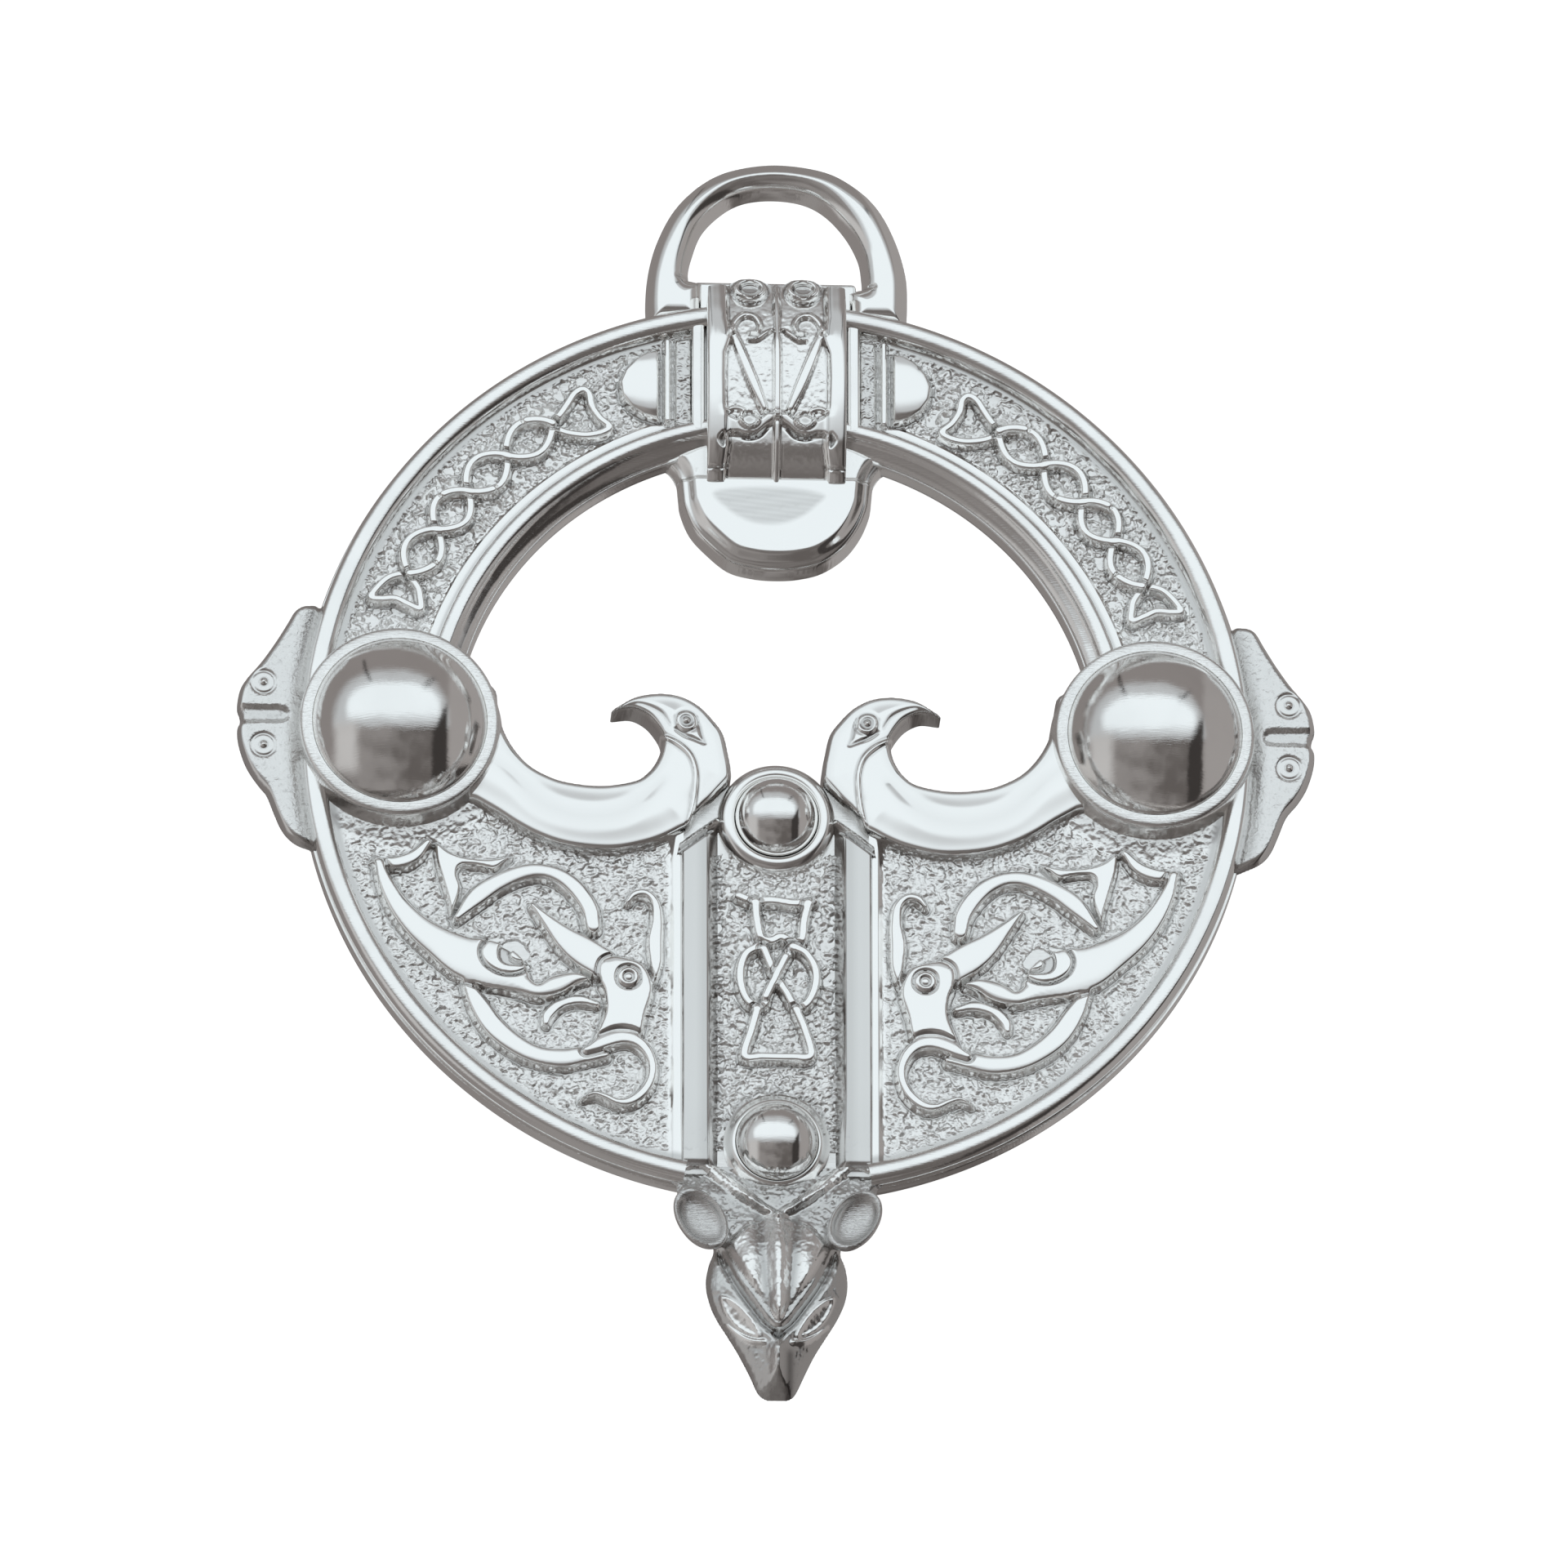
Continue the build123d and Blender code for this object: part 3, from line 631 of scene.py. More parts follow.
def leaned(rows, wider=0.0):
    """Rows read off the photo's slant at the rim's level, moved to where the lower relief is."""
    return [(row[0], row[1] + LEAN, *[half + wider for half in row[2:]]) for row in rows]


def rim_shadow(out):
    """Painted shade in a band along the inside of the rim."""
    return 0.6 * smooth((out - RIM_INSIDE + 0.9) / 0.5) + 0.4 * smooth((out - RIM_INSIDE + 0.1) / 0.25)


panel_silver = cast_finish("panel_silver", 0.42, 0.08)


def cast_panel(piece, grain_depth):
    soften(piece, 1)
    punch_ground(piece, grain_depth, GRAIN)
    close_below(piece, PANEL_FOOT)
    set_on_frame(piece, panel_silver, 80)


panel, u, v = bench_sheet("upper_panel_left", 500, 118)
out = 24.9 + 8.0 * v
first = np.arccos(-5.4 / out)
angle = first + (radians(170.5) - first) * u
wax = Wax(out * np.cos(angle), out * np.sin(angle), GROUND)
wax.height += 0.14 * smooth((26.2 - out) / 0.2) - 0.25 * smooth((out - RIM_INSIDE) / 0.18)
wax.ground = smooth((out - 26.1) / 0.4) * smooth((RIM_INSIDE - 0.3 - out) / 0.6)
# Painted shade along the foot of the ridge, and along the rim.
wax.shade_and_tarnish = 0.5 * hump(out - 25.45, 0.15) + rim_shadow(out)
bell = [
    (-16.3, 24), (-15.5, 24.7), (-14.9, 25.6), (-14.4, 26.4), (-13.8, 26.75), (-13.35, 26.4),
    (-13.15, 25.5), (-12.6, 24.6), (-11.9, 23.95), (-12.4, 23.5), (-13.5, 23.25), (-14.7, 23.35),
    (-15.5, 23.6),
]
low_bell = [
    (-26.4, 12.3), (-27.4, 12.2), (-28.2, 11.6), (-28.9, 10.6), (-28.2, 10.45), (-27.2, 10.5),
    (-26.3, 10.1), (-25.4, 9.75), (-25.4, 10.6), (-25.6, 11.4),
]
for line in (bell, low_bell):
    cord = leaned([(x, y, CORD_HALF) for x, y in line])
    wax.lay(wax.band(cord, True), RELIEF + 0.05, 0.2, 0.06, 0.2, shade_and_tarnish_strength=0.9)
crossings = np.radians((123.5, 131.7, 139.5, 146.8, 154.6))
strands = []
for way in (1, -1):
    line = []
    for eye in range(4):
        for t in np.linspace(0, 1, 12, endpoint=False):
            turn = crossings[eye] + (crossings[eye + 1] - crossings[eye]) * t
            swing = way * (-1) ** eye * 1.32 * sin(pi * t) ** 0.8
            reach = PANEL_MIDDLE + swing
            line.append((reach * cos(turn), reach * sin(turn), CORD_HALF))
    turn = crossings[4]
    line.append((PANEL_MIDDLE * cos(turn), PANEL_MIDDLE * sin(turn), CORD_HALF))
    strands.append(leaned(line))
    wax.lay(wax.band(strands[-1], steps=2), RELIEF + 0.02, 0.19, 0.06, 0.2, shade_and_tarnish_strength=0.9)
over_all = wax.whole(wax.band(strands[0], steps=2))
for crossing in (0, 2, 4):
    part = strands[0][max(12 * crossing - 4, 0):12 * crossing + 5]
    wax.lay(wax.band(part, steps=2), RELIEF + 0.09, 0.19, 0.06, 0.18, shade_and_tarnish_strength=0.9, spare=over_all)
half_boss = [
    (-8.25, 30), (-9.2, 29.85), (-10.1, 29.3), (-10.9, 28.4), (-11.3, 27.4), (-11.15, 26.3),
    (-10.5, 25.4), (-9.6, 24.8), (-8.8, 24.55), (-8.25, 24.5),
]
boss_area = wax.area(leaned(half_boss), corners=True)
wax.lay(boss_area, 2.0, 0.25, 0.0, 0.3, 0.15, shade_and_tarnish_strength=0.9)
pick, depth, _ = boss_area
inward = np.clip(1 - ((wax.x[pick] + 8.6) / 2.9) ** 2 - ((wax.y[pick] - 27.4 - LEAN) / 3.0) ** 2, 0, 1)
wax.height[pick] += smooth(depth / 0.25) * 0.95 * np.sqrt(inward)
wax.lay(wax.band(leaned([(-7.75, 24.6, 0.36), (-7.75, 30.6, 0.36)])), 2.3, 0.25, 0.1, 0.1, 0.1)
end_block = leaned([(-7.3, 24.2), (-7.3, 30.9), (-5.9, 31.1), (-5.9, 24)])
wax.lay(wax.area(end_block, corners=True), 2.1, 0.25, 0.1, 0.1)
# Darker and partly matt beside the strap.
wax.shade_and_tarnish[wax.x > -7.2] = 0.42
wax.ground[wax.x > -7.2] = 0.35
wax.put_on(panel)
for piece in (panel, other_side(panel, "upper_panel_right")):
    cast_panel(piece, 0.25)

# Fences: short polished bars that close the panels beside the strap, a little below the rim's and
# the ridge's tops.
def filed_block(name, size, middle, edge):
    bpy.ops.mesh.primitive_cube_add(size=1)
    block = start_piece(name)
    put_points(block, points_of(block) * size + middle)
    start_edit()
    bpy.ops.mesh.bevel(offset=edge, segments=5)
    end_edit()
    return block


fence = filed_block("fence_left", (0.92, 9.4, 2.6), (-5.56, 28.5, 1.42), 0.28)
for piece in (fence, other_side(fence, "fence_right")):
    set_on_frame(piece, bright_silver, 50)

# Beast panels: one long-necked beast a side, in bevelled ribbons that pass over and under each
# other on a punched ground. The ribbons are laid from the lowest to the topmost.
BEZEL_OUT = 26.9
BEZEL_UP = 0.8


def ribbon(rows, top, bevel, crown, moat):
    """One of the beast's ribbons, a little wider than it was read off the photo."""
    wax.lay(wax.band(leaned(rows, 0.12)), top, bevel, crown, moat, shade_and_tarnish_strength=0.75)


panel, u, v = bench_sheet("beast_panel_left", 290, 320)
x = -33.1 + 26.5 * u
y = -32.6 + 29.2 * v
out = np.hypot(x, y)
wax = Wax(x, y, GROUND)
wax.height -= 0.25 * smooth((out - RIM_INSIDE) / 0.18)
wax.height += 0.3 * smooth((x + 7.7) / 0.6)
bezel_out = np.hypot(x + BEZEL_OUT, y - BEZEL_UP)
wax.height += 0.32 * smooth((9.0 - bezel_out) / 1.8)
wax.ground = smooth((RIM_INSIDE - 0.3 - out) / 0.6) * smooth((-7.5 - x) / 0.4)
wax.ground *= 0.45 + 0.55 * smooth((bezel_out - 8.4) / 1.2)
# Painted shade along the rim and round the foot of the bezel.
wax.shade_and_tarnish = rim_shadow(out) + 0.3 * smooth((9.0 - bezel_out) / 1.4)
crescent_leg = [
    (-22.1, -18.5, 0.35), (-21.2, -20.2, 0.75), (-20.1, -21.9, 0.85), (-18.6, -23.2, 0.8),
    (-17, -24, 0.75), (-15.2, -24.2, 0.78), (-13.5, -23.9, 0.7), (-12.2, -23.9, 0.4),
]
toe = [
    (-12.8, -20, 0.28), (-14, -19.7, 0.4), (-15.3, -20, 0.42), (-16.2, -20.8, 0.45),
    (-16.4, -21.5, 0.3),
]
fan = [
    (-24.3, -7.8), (-23.2, -8.55), (-22, -8.95), (-20.5, -9.05), (-18.7, -8.85), (-19.3, -9.6),
    (-20.1, -10.1), (-21.2, -9.9), (-22.3, -9.85), (-22.6, -10.3), (-22.35, -11.2), (-22.5, -12.2),
    (-23.15, -13.7), (-23.5, -12.4), (-23.95, -10.8), (-24.35, -9.2),
]
prong = [(-28.6, -9.4, 0.25), (-27.2, -9.6, 0.5), (-25.8, -9.1, 0.5), (-24.8, -8, 0.3)]
body = [
    (-28.3, -9.7, 0.4), (-27.75, -11.3, 0.65), (-26.8, -13, 0.85), (-25.5, -14.5, 1.05),
    (-23.9, -15.7, 1.3), (-22.2, -16.7, 1.65), (-20.6, -17.1, 1.85), (-19.3, -17.6, 1.6),
    (-18.2, -18.6, 0.85), (-17, -19.15, 0.6), (-15.7, -18.7, 0.8), (-14.4, -18.2, 0.55),
    (-13.4, -18.2, 0.2),
]
arch = [
    (-22.7, -13.7, 0.35), (-21.3, -12.1, 0.75), (-19.8, -11, 0.72), (-18, -10.2, 0.65),
    (-16.5, -10.1, 0.6), (-15.2, -10.6, 0.65), (-14.1, -11.6, 0.7), (-13.3, -12.9, 0.68),
    (-13.05, -14.2, 0.6),
]
lock = [
    (-8.75, -18.4, 0.12), (-8.6, -16.9, 0.45), (-8.65, -15.2, 0.55), (-8.5, -13.6, 0.42),
    (-8.65, -12.3, 0.35), (-9.3, -11.6, 0.3), (-10.1, -11.7, 0.3), (-10.6, -12.3, 0.2),
]
spear = [
    (-17.4, -12.7, 0.22), (-16.3, -13.9, 0.55), (-15, -15.2, 0.95), (-13.8, -16.1, 1.2),
    (-12.4, -17, 1.2),
]
face = [
    (-12.6, -16.9), (-11.6, -16.3), (-10.4, -16.45), (-9.4, -16.9), (-8.8, -17.9), (-8.65, -19.2),
    (-9.1, -20.8), (-9.6, -22.6), (-11, -22.4), (-12.3, -22.9), (-13.4, -23.7), (-12.9, -22),
    (-12.4, -20.6), (-12.45, -19.4), (-12.8, -18.3),
]
mouth = [
    (-13.5, -23.6, 0.3), (-12.5, -23.1, 0.5), (-11.2, -22.65, 0.55), (-10.1, -22.8, 0.5),
    (-9.3, -23.5, 0.45), (-8.85, -24.6, 0.38), (-8.95, -25.7, 0.38), (-9.5, -26.7, 0.42),
    (-10.4, -27.4, 0.4), (-11.3, -27.5, 0.33), (-12.2, -27.1, 0.3), (-13, -26.9, 0.25),
    (-13.9, -27.3, 0.12),
]
hip_line = [
    (-17.6, -17.5, 0.06), (-18.6, -18, 0.1), (-19.8, -17.9, 0.1), (-20.8, -17.2, 0.1),
    (-21.1, -16.2, 0.1), (-20.6, -15.3, 0.1), (-19.5, -15, 0.08),
]
hip_hollow = [
    (-17.7, -17.1, 0.1), (-18.6, -17.1, 0.16), (-19.3, -16.8, 0.35), (-19.3, -16, 0.42),
    (-18.6, -15.6, 0.45), (-17.9, -16.2, 0.3),
]
ribbon(toe, 2.2, 0.28, 0.12, 0.24)
ribbon(crescent_leg, RELIEF - 0.05, 0.3, 0.22, 0.26)
wax.lay(wax.area(leaned(fan)), RELIEF - 0.05, 0.28, 0.12, 0.24, shade_and_tarnish_strength=0.75)
ribbon(prong, RELIEF - 0.05, 0.28, 0.16, 0.24)
ribbon(body, RELIEF, 0.34, 0.28, 0.26)
wax.carve(wax.band(leaned(hip_line)), 0.4, 0.12, 0.9)
wax.carve(wax.band(leaned(hip_hollow)), 0.6, 0.1, 0.5)
ribbon(arch, RELIEF + 0.02, 0.3, 0.22, 0.26)
ribbon(lock, RELIEF - 0.05, 0.24, 0.16, 0.22)
ribbon(spear, RELIEF + 0.05, 0.3, 0.22, 0.26)
wax.lay(wax.area(leaned(face)), RELIEF + 0.1, 0.34, 0.3, 0.24, shade_and_tarnish_strength=0.75)
ribbon(mouth, RELIEF + 0.1, 0.28, 0.16, 0.24)
for around, cut in ((0.88, 0.22), (0.5, -0.1), (0.34, 0.14)):
    ring = oval(-10.55, -18.1 + LEAN, around, around, 16, 0.09)
    wax.carve(wax.band(ring, True, 3), cut, 0.08, 0.7 if cut > 0 else 0)
wax.put_on(panel)
keep_only(panel, (out < 33.1) & (y < -3.4 - 0.22 * np.clip(x + 21, 0, 15)))
for piece in (panel, other_side(panel, "beast_panel_right")):
    cast_panel(piece, 0.16)

# Knot panel: a narrow panel between the bars with a frame above and below a crossed knot, in thin
# cords on the same punched ground, with painted shade along its edges and round the lower dome.
KNOT_HALF = 0.44
LOWER_BOSS_UP = -30
panel, u, v = bench_sheet("knot_panel", 115, 280)
x = -4.6 + 9.2 * u
y = -30.5 + 22.5 * v
wax = Wax(x, y, GROUND)
wax.ground = smooth((4.5 - np.abs(x)) / 0.2)
# Painted shade beside the bars and round the lower dome.
side_shadow = 0.5 * smooth((np.abs(x) - 3.6) / 0.6)
wax.shade_and_tarnish = np.maximum(side_shadow, 0.5 * smooth((4.7 - np.hypot(x, y - LOWER_BOSS_UP)) / 0.9))
cords = [
    [(-2.7, -11.7), (-1.7, -12.05), (-0.3, -12.0), (1.3, -12.2), (2.6, -12.0)],
    [(-1.5, -12.2), (-1.4, -13.5), (-1.1, -14.85), (-0.4, -15.05), (0.3, -14.75), (1, -15.05),
     (1.75, -14.95), (1.95, -13.5), (2.25, -12.2)],
    [(-1.3, -15.5), (-2.2, -16.1), (-2.6, -17.4), (-2.45, -18.8), (-1.9, -19.8), (-1, -20),
     (-0.6, -18.9), (-0.1, -17.8), (0.5, -16.6), (1, -15.5)],
    [(1.2, -15.5), (2.1, -16), (2.75, -17.2), (2.7, -18.6), (2.1, -19.8), (1.3, -20),
     (0.7, -19), (0.2, -18.2), (-0.3, -17.2), (-0.9, -15.7)],
    [(-1.4, -20.3), (-1.8, -21.8), (-2.3, -23.8), (-1, -23.85), (1, -23.85), (2.4, -23.7),
     (2, -21.8), (1.4, -20.3)],
]
for line in cords:
    cord = leaned([(a, b, KNOT_HALF) for a, b in line])
    wax.lay(wax.band(cord), RELIEF + 0.06, 0.2, 0.08, 0.22, shade_and_tarnish_strength=0.85)
crossing = leaned([(-0.8, -19.3, 0.4), (-0.1, -17.8, 0.4), (0.6, -16.3, 0.4)])
own_cord = wax.whole(wax.band(leaned([(a, b, 0.38) for a, b in cords[2]])))
wax.lay(wax.band(crossing), RELIEF + 0.12, 0.2, 0.08, 0.18, shade_and_tarnish_strength=0.85, spare=own_cord)
wax.put_on(panel)
cast_panel(panel, 0.24)

# Centre bars: two upright bars beside the knot, highest on the outside and sloped towards the knot,
# each cut off on a slant under a short raised cord, and low and matt at the foot.
def sawn_sheet(name, outline, spacing=0.11):
    """A flat sheet of fine squares sawn exactly to an outline; returns it with x, y and depth."""
    line = np.array(outline, float)
    low = line.min(0) - spacing
    size = line.max(0) + spacing - low
    piece, u, v = bench_sheet(name, int(size[0] / spacing) + 1, int(size[1] / spacing) + 1)
    x, y = low[0] + size[0] * u, low[1] + size[1] * v
    depth, near_x, near_y = apart_from(x, y, line)
    corners = np.empty(len(piece.data.loops), np.int64)
    piece.data.loops.foreach_get("vertex_index", corners)
    corners = corners.reshape(-1, 4)
    faces = corners[(depth > -0.5 * spacing)[corners].all(1)]
    sides = np.vstack([faces, np.roll(faces, -1, 1)]).reshape(2, -1)
    codes, count = np.unique(sides.min(0) * len(x) + sides.max(0), return_counts=True)
    edge = np.unique(np.concatenate([codes[count == 1] // len(x), codes[count == 1] % len(x)]))
    x[edge], y[edge] = near_x[edge], near_y[edge]
    kept = np.zeros(x.shape, bool)
    kept[faces.ravel()] = True
    put_points(piece, np.column_stack([x, y, 0 * x]))
    keep_only(piece, kept)
    points = points_of(piece)
    x, y = points[:, 0], points[:, 1]
    return piece, x, y, np.maximum(apart_from(x, y, line)[0], 0)


bar_outline = [(-7.1, -32.4), (-7.1, -8.4), (-6.9, -7.5), (-4.2, -5.4), (-3.9, -5.9), (-3.9, -32.4)]
bar, x, y, _ = sawn_sheet("bar_left", bar_outline)
wax = Wax(x, y, GROUND)
wax.height += 1.6 * smooth((-3.92 - x) / 1.15) * smooth((x + 6.98) / 0.3) - 0.4
slant = y + 8.17 - (x + 6.67) * 0.766
wax.height -= (wax.height - 2.1) * smooth((slant + 0.15) / 0.3)
fade = 0.38 * smooth((-25.5 - y) / 6.5) + 0.3 * smooth((-31.4 - y) / 0.7)
wax.height -= np.clip(wax.height - 1.4, 0, None) * fade
wax.ground = 0.5 * smooth((-28.0 - y) / 3.0)
# Darker overall, with painted shade along the outer edge, down the slope to the knot and under the
# slanted cord.
wax.shade_and_tarnish = 0.42 + 0.15 * smooth((x + 5.9) / 0.8) + 0.3 * smooth((x + 6.85) / -0.15)
wax.shade_and_tarnish += 0.4 * hump(slant - 0.15, 0.12) + 0.25 * smooth((x + 4.7) / 0.5)
end_cord = [(-6.95, -7.75, 0.2), (-5.6, -6.75, 0.26), (-4.25, -5.75, 0.24)]
wax.lay(wax.band(end_cord), 0.5, 0.24, 0.1, 0.1, 0.0, over=True)
wax.put_on(bar)
soften(bar, 3)
bar_silver = cast_finish("bar_silver", 0.5, 0.015, 0.12)
for piece in (bar, other_side(bar, "bar_right")):
    close_below(piece, PANEL_FOOT)
    set_on_frame(piece, bar_silver, 60)

# Bird arms: two broad polished arms, cast over the plate, that reach in from the bezels and end in
# birds' heads with a neck collar, an eye and a beak that curls back over the opening.
FINE_SQUARES = 0.085
BIRD_EYE = (-6.45, 1.55)
arm_outline = [
    (-22.6, 4.2), (-20.2, 4.2), (-19.8, 2.2), (-19.3, 0.6), (-18.5, -0.75), (-17.5, -1.8),
    (-16.3, -2.5), (-15, -2.95), (-13, -3.2), (-11.5, -3.1), (-10, -2.75), (-9.2, -2.2), (-8.6, -1.4),
    (-8.25, -0.5), (-8.2, 0.4), (-8.7, 1.35), (-9.4, 2.1), (-10.4, 2.55), (-11.75, 2.45), (-11, 3.05),
    (-9.9, 3.65), (-8.3, 3.9), (-6.8, 3.7), (-5.5, 3), (-4.5, 1.95), (-3.8, 0.9), (-3.45, -0.6),
    (-3.25, -1.8), (-3.3, -2.7), (-4, -3.6), (-4.7, -4.4), (-5.5, -5.2), (-6.2, -6.3), (-7, -6.8),
    (-8, -7.35), (-9.3, -7.85), (-11.3, -8.3), (-13.3, -8.3), (-15.3, -8), (-17, -7.4), (-18.5, -6.6),
    (-20, -5.6), (-21.5, -4.7), (-23.2, -3.7),
]
arm, x, y, depth = sawn_sheet("bird_arm_left", flow(arm_outline, True, 5), FINE_SQUARES)
wax = Wax(x, y, 0)
wax.height = 1.8 + 0.95 * rounded(depth / 0.42) + 0.38 * smooth(depth / 2.5)
wax.ground[:] = 0
# Painted shade along the arm's edges.
wax.shade_and_tarnish = 0.5 * smooth(1 - depth / 0.3) + 0.18 * smooth(1 - depth / 1.1)
crease = [
    (-20.5, -1.5, 0.1), (-19, -2.6, 0.3), (-17, -4.7, 0.5), (-15, -5.65, 0.5), (-13, -5.9, 0.5),
    (-11, -5.5, 0.5), (-9.4, -4.4, 0.35), (-8.1, -2.9, 0.1),
]
wax.carve(wax.band(crease), 0.09, 0.8, 0.12)
neck_collar = [
    (-8.3, 0.55, 0.15), (-7.1, -0.15, 0.22), (-6.2, -1.1, 0.22), (-5.8, -2.3, 0.22), (-5.8, -3.5, 0.22),
    (-5.95, -4.7, 0.22), (-6.25, -6, 0.18),
]
cheek = [(-7.2, 0.95, 0.1), (-6.6, 0.5, 0.12), (-5.9, 0.15, 0.1), (-5.2, -0.15, 0.06)]
crown_line = [(-5.75, 1.85, 0.08), (-5.5, 1.2, 0.1), (-5.35, 0.5, 0.1), (-5.1, -0.1, 0.05)]
beak_line = [(-10.9, 2.85, 0.05), (-9.6, 2.85, 0.08), (-8.3, 2.2, 0.08), (-7.6, 1.2, 0.05)]
wax.lay(wax.band(neck_collar), 0.12, 0.16, 0.05, 0.15, 0.1, over=True)
wax.carve(wax.band(cheek), 0.2, 0.12)
wax.carve(wax.band(crown_line), 0.18, 0.12)
wax.lay(wax.band([(*BIRD_EYE, 0.78), (-6.4, 1.5, 0.78)]), 0.16, 0.2, 0.05, over=True)
wax.carve(wax.band([(*BIRD_EYE, 0.5), (-6.4, 1.5, 0.5)]), 0.2, 0.1)
wax.lay(wax.band([(*BIRD_EYE, 0.24), (-6.42, 1.53, 0.24)]), 0.2, 0.15, 0.05, 0.1, 0.02, over=True)
wax.carve(wax.band(beak_line), 0.12, 0.12, 0.4)
wax.put_on(arm)
soften(arm, 6)
arm_silver = cast_finish("arm_silver", 0.5, 0.012, 0.10)
for piece in (arm, other_side(arm, "bird_arm_right")):
    close_below(piece, 0.04)
    set_on_frame(piece, arm_silver, 60)

# Side lugs: a flat ear of silver outside each bezel, carved as two beasts' heads nose to nose, each
# with a ringed eye, and a matt notch between them. The right one sits a little lower.
LUG_EYE = -36.55
RIGHT_LUG_DROP = 0.5
lug_outline = [
    (-32.6, 10.15), (-33.3, 10.2), (-33.9, 10.05), (-34.35, 9.7), (-34.85, 8.8), (-35.7, 7.35),
    (-36.7, 5.85), (-37.7, 4.6), (-38.2, 3.7), (-38.42, 2.4), (-38.25, 1.75), (-38.2, 1.3),
    (-38.4, 0.6), (-38.3, -0.5), (-37.85, -1.95), (-37.2, -3.1), (-36.35, -4.2), (-35.75, -5.7),
    (-35.25, -6.85), (-34.6, -7.65), (-33.6, -8.15), (-32.3, -8.3), (-31.9, -7), (-31.9, 9),
]
lug, x, y, depth = sawn_sheet("side_lug_left", flow(lug_outline, True, 5), FINE_SQUARES)
out = np.hypot(x, y)
wax = Wax(x, y, 0)
wax.height = 1.75 + rounded(depth / 0.5)
wax.height -= 0.6 * np.clip((35.4 - out) / 1.5, 0, 1) ** 2
wax.ground[:] = 0.8 * smooth((depth - 0.35) / 0.3)
# Darker overall, with painted shade down the inner slope and along the edges.
wax.shade_and_tarnish = 0.24 + 0.3 * smooth((35.2 - out) / 1.2) + 0.2 * smooth(1 - depth / 0.25)
notch = wax.area([(-38.8, 1.15), (-38.8, 2.15), (-37, 2.2), (-35, 2.1), (-35, 1.2), (-37, 1.1)], 3)
wax.carve(notch, 0.3, 0.22, 0.35)
wax.ground[notch[0]] = np.maximum(wax.ground[notch[0]], 0.8 * smooth(notch[1] / 0.15))
for middle in (4.05, -0.72):
    wax.ground *= smooth((np.hypot(x - LUG_EYE, y - middle) - 0.8) / 0.4)
    wax.carve(wax.band(oval(LUG_EYE, middle, 0.85, 0.85, 24, 0.05), True, 3), 0.16, 0.14, 0.5)
    pupil = [(LUG_EYE, middle, 0.32), (LUG_EYE + 0.02, middle + 0.02, 0.32)]
    wax.lay(wax.band(pupil), 0.22, 0.3, 0.0, 0.12, 0.03, over=True)
wax.put_on(lug)
soften(lug, 2)
right_lug = other_side(lug, "side_lug_right")
put_points(right_lug, points_of(right_lug) + (0, -RIGHT_LUG_DROP, 0))
for piece, side in ((lug, -1), (right_lug, 1)):
    close_below(piece, 0.04, 0.94, (side * 31, 0.8))
    set_on_frame(piece, panel_silver, 60)

# Bezels and collars: turned walls with a thin hammered edge that is rubbed over each dome. The two
# large bezels are polished, and the two collars on the centre line are left as cast.
COLLARS_UP = (-5.5, LOWER_BOSS_UP)
bezel_silver = polished_finish("bezel_silver", 0.16, 0.03, 0.05)
bezel_profile = [
    (7.4, 0.2), (7.4, 1.6), (7.33, 2.1), (7.24, 2.6), (7.18, 3.1), (7.14, 3.55), (7.08, 3.84),
    (6.96, 4), (6.8, 4.06), (6.6, 4.07), (6.4, 4.1), (6.26, 4.1), (6.22, 4.02), (6.31, 3.7),
    (6.31, 0.2),
]
for side, name in ((-1, "bezel_left"), (1, "bezel_right")):
    bezel = turned(name, bezel_profile, steps=160)
    set_on_frame(bezel, bezel_silver, 40, (side * BEZEL_OUT, BEZEL_UP))
upper_profile = [
    (4.25, 0.05), (4.22, 1.5), (4.14, 1.9), (4, 2.2), (3.82, 2.44), (3.6, 2.6), (3.4, 2.66),
    (3.2, 2.62), (3.06, 2.5), (2.97, 2.35), (2.96, 0.05),
]
lower_profile = [
    (3.85, 1.2), (3.8, 1.66), (3.66, 1.74), (3.5, 1.88), (3.36, 2.06), (3.22, 2.22), (3.1, 2.32),
    (3, 2.34), (2.95, 2.28), (2.94, 1.2),
]
collar_silver = cast_finish("collar_silver", 0.45, 0.05, 0.14)
collars = (("collar_upper", upper_profile), ("collar_lower", lower_profile))
for (name, profile), up in zip(collars, COLLARS_UP):
    set_on_frame(turned(name, profile, steps=120), collar_silver, 50, (0, up))

# Domes: two large and two small silver domes, spun and polished to a mirror. Each is dropped into
# its bezel or collar and held by the edge that is rubbed over it.
dome_silver = polished_finish("dome_silver", 0.05, 0.006, 0.035)
for name, radius, rise, seat, at in (
    ("dome_left", 6.29, 4.5, 3.8, (-BEZEL_OUT, BEZEL_UP)),
    ("dome_right", 6.29, 4.5, 3.8, (BEZEL_OUT, BEZEL_UP)),
    ("dome_upper", 2.94, 2.3, 2.56, (0, COLLARS_UP[0])),
    ("dome_lower", 2.92, 2.35, 2.42, (0, COLLARS_UP[1])),
):
    ball = (radius**2 + rise**2) / (2 * rise)
    middle = seat + rise - ball
    turns = asin(radius / ball) * (1 - np.linspace(0, 1, 40))
    profile = [(0, seat - 0.9), (radius, seat - 0.9), (radius, seat - 0.3)]
    profile += [(ball * sin(a), middle + ball * cos(a)) for a in turns]
    dome = turned(name, profile, steps=160)
    set_on_frame(dome, dome_silver, 60, at)
    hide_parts(name.replace("dome", "boss"))

# Mask: the animal's head at the foot, cast on the ring, with a ridged brow plate over troughs in
# painted shade, almond eyes, a narrow nose and two cupped ears. It is drawn as the photo's slant shows
# it.
SLANT = 0.384


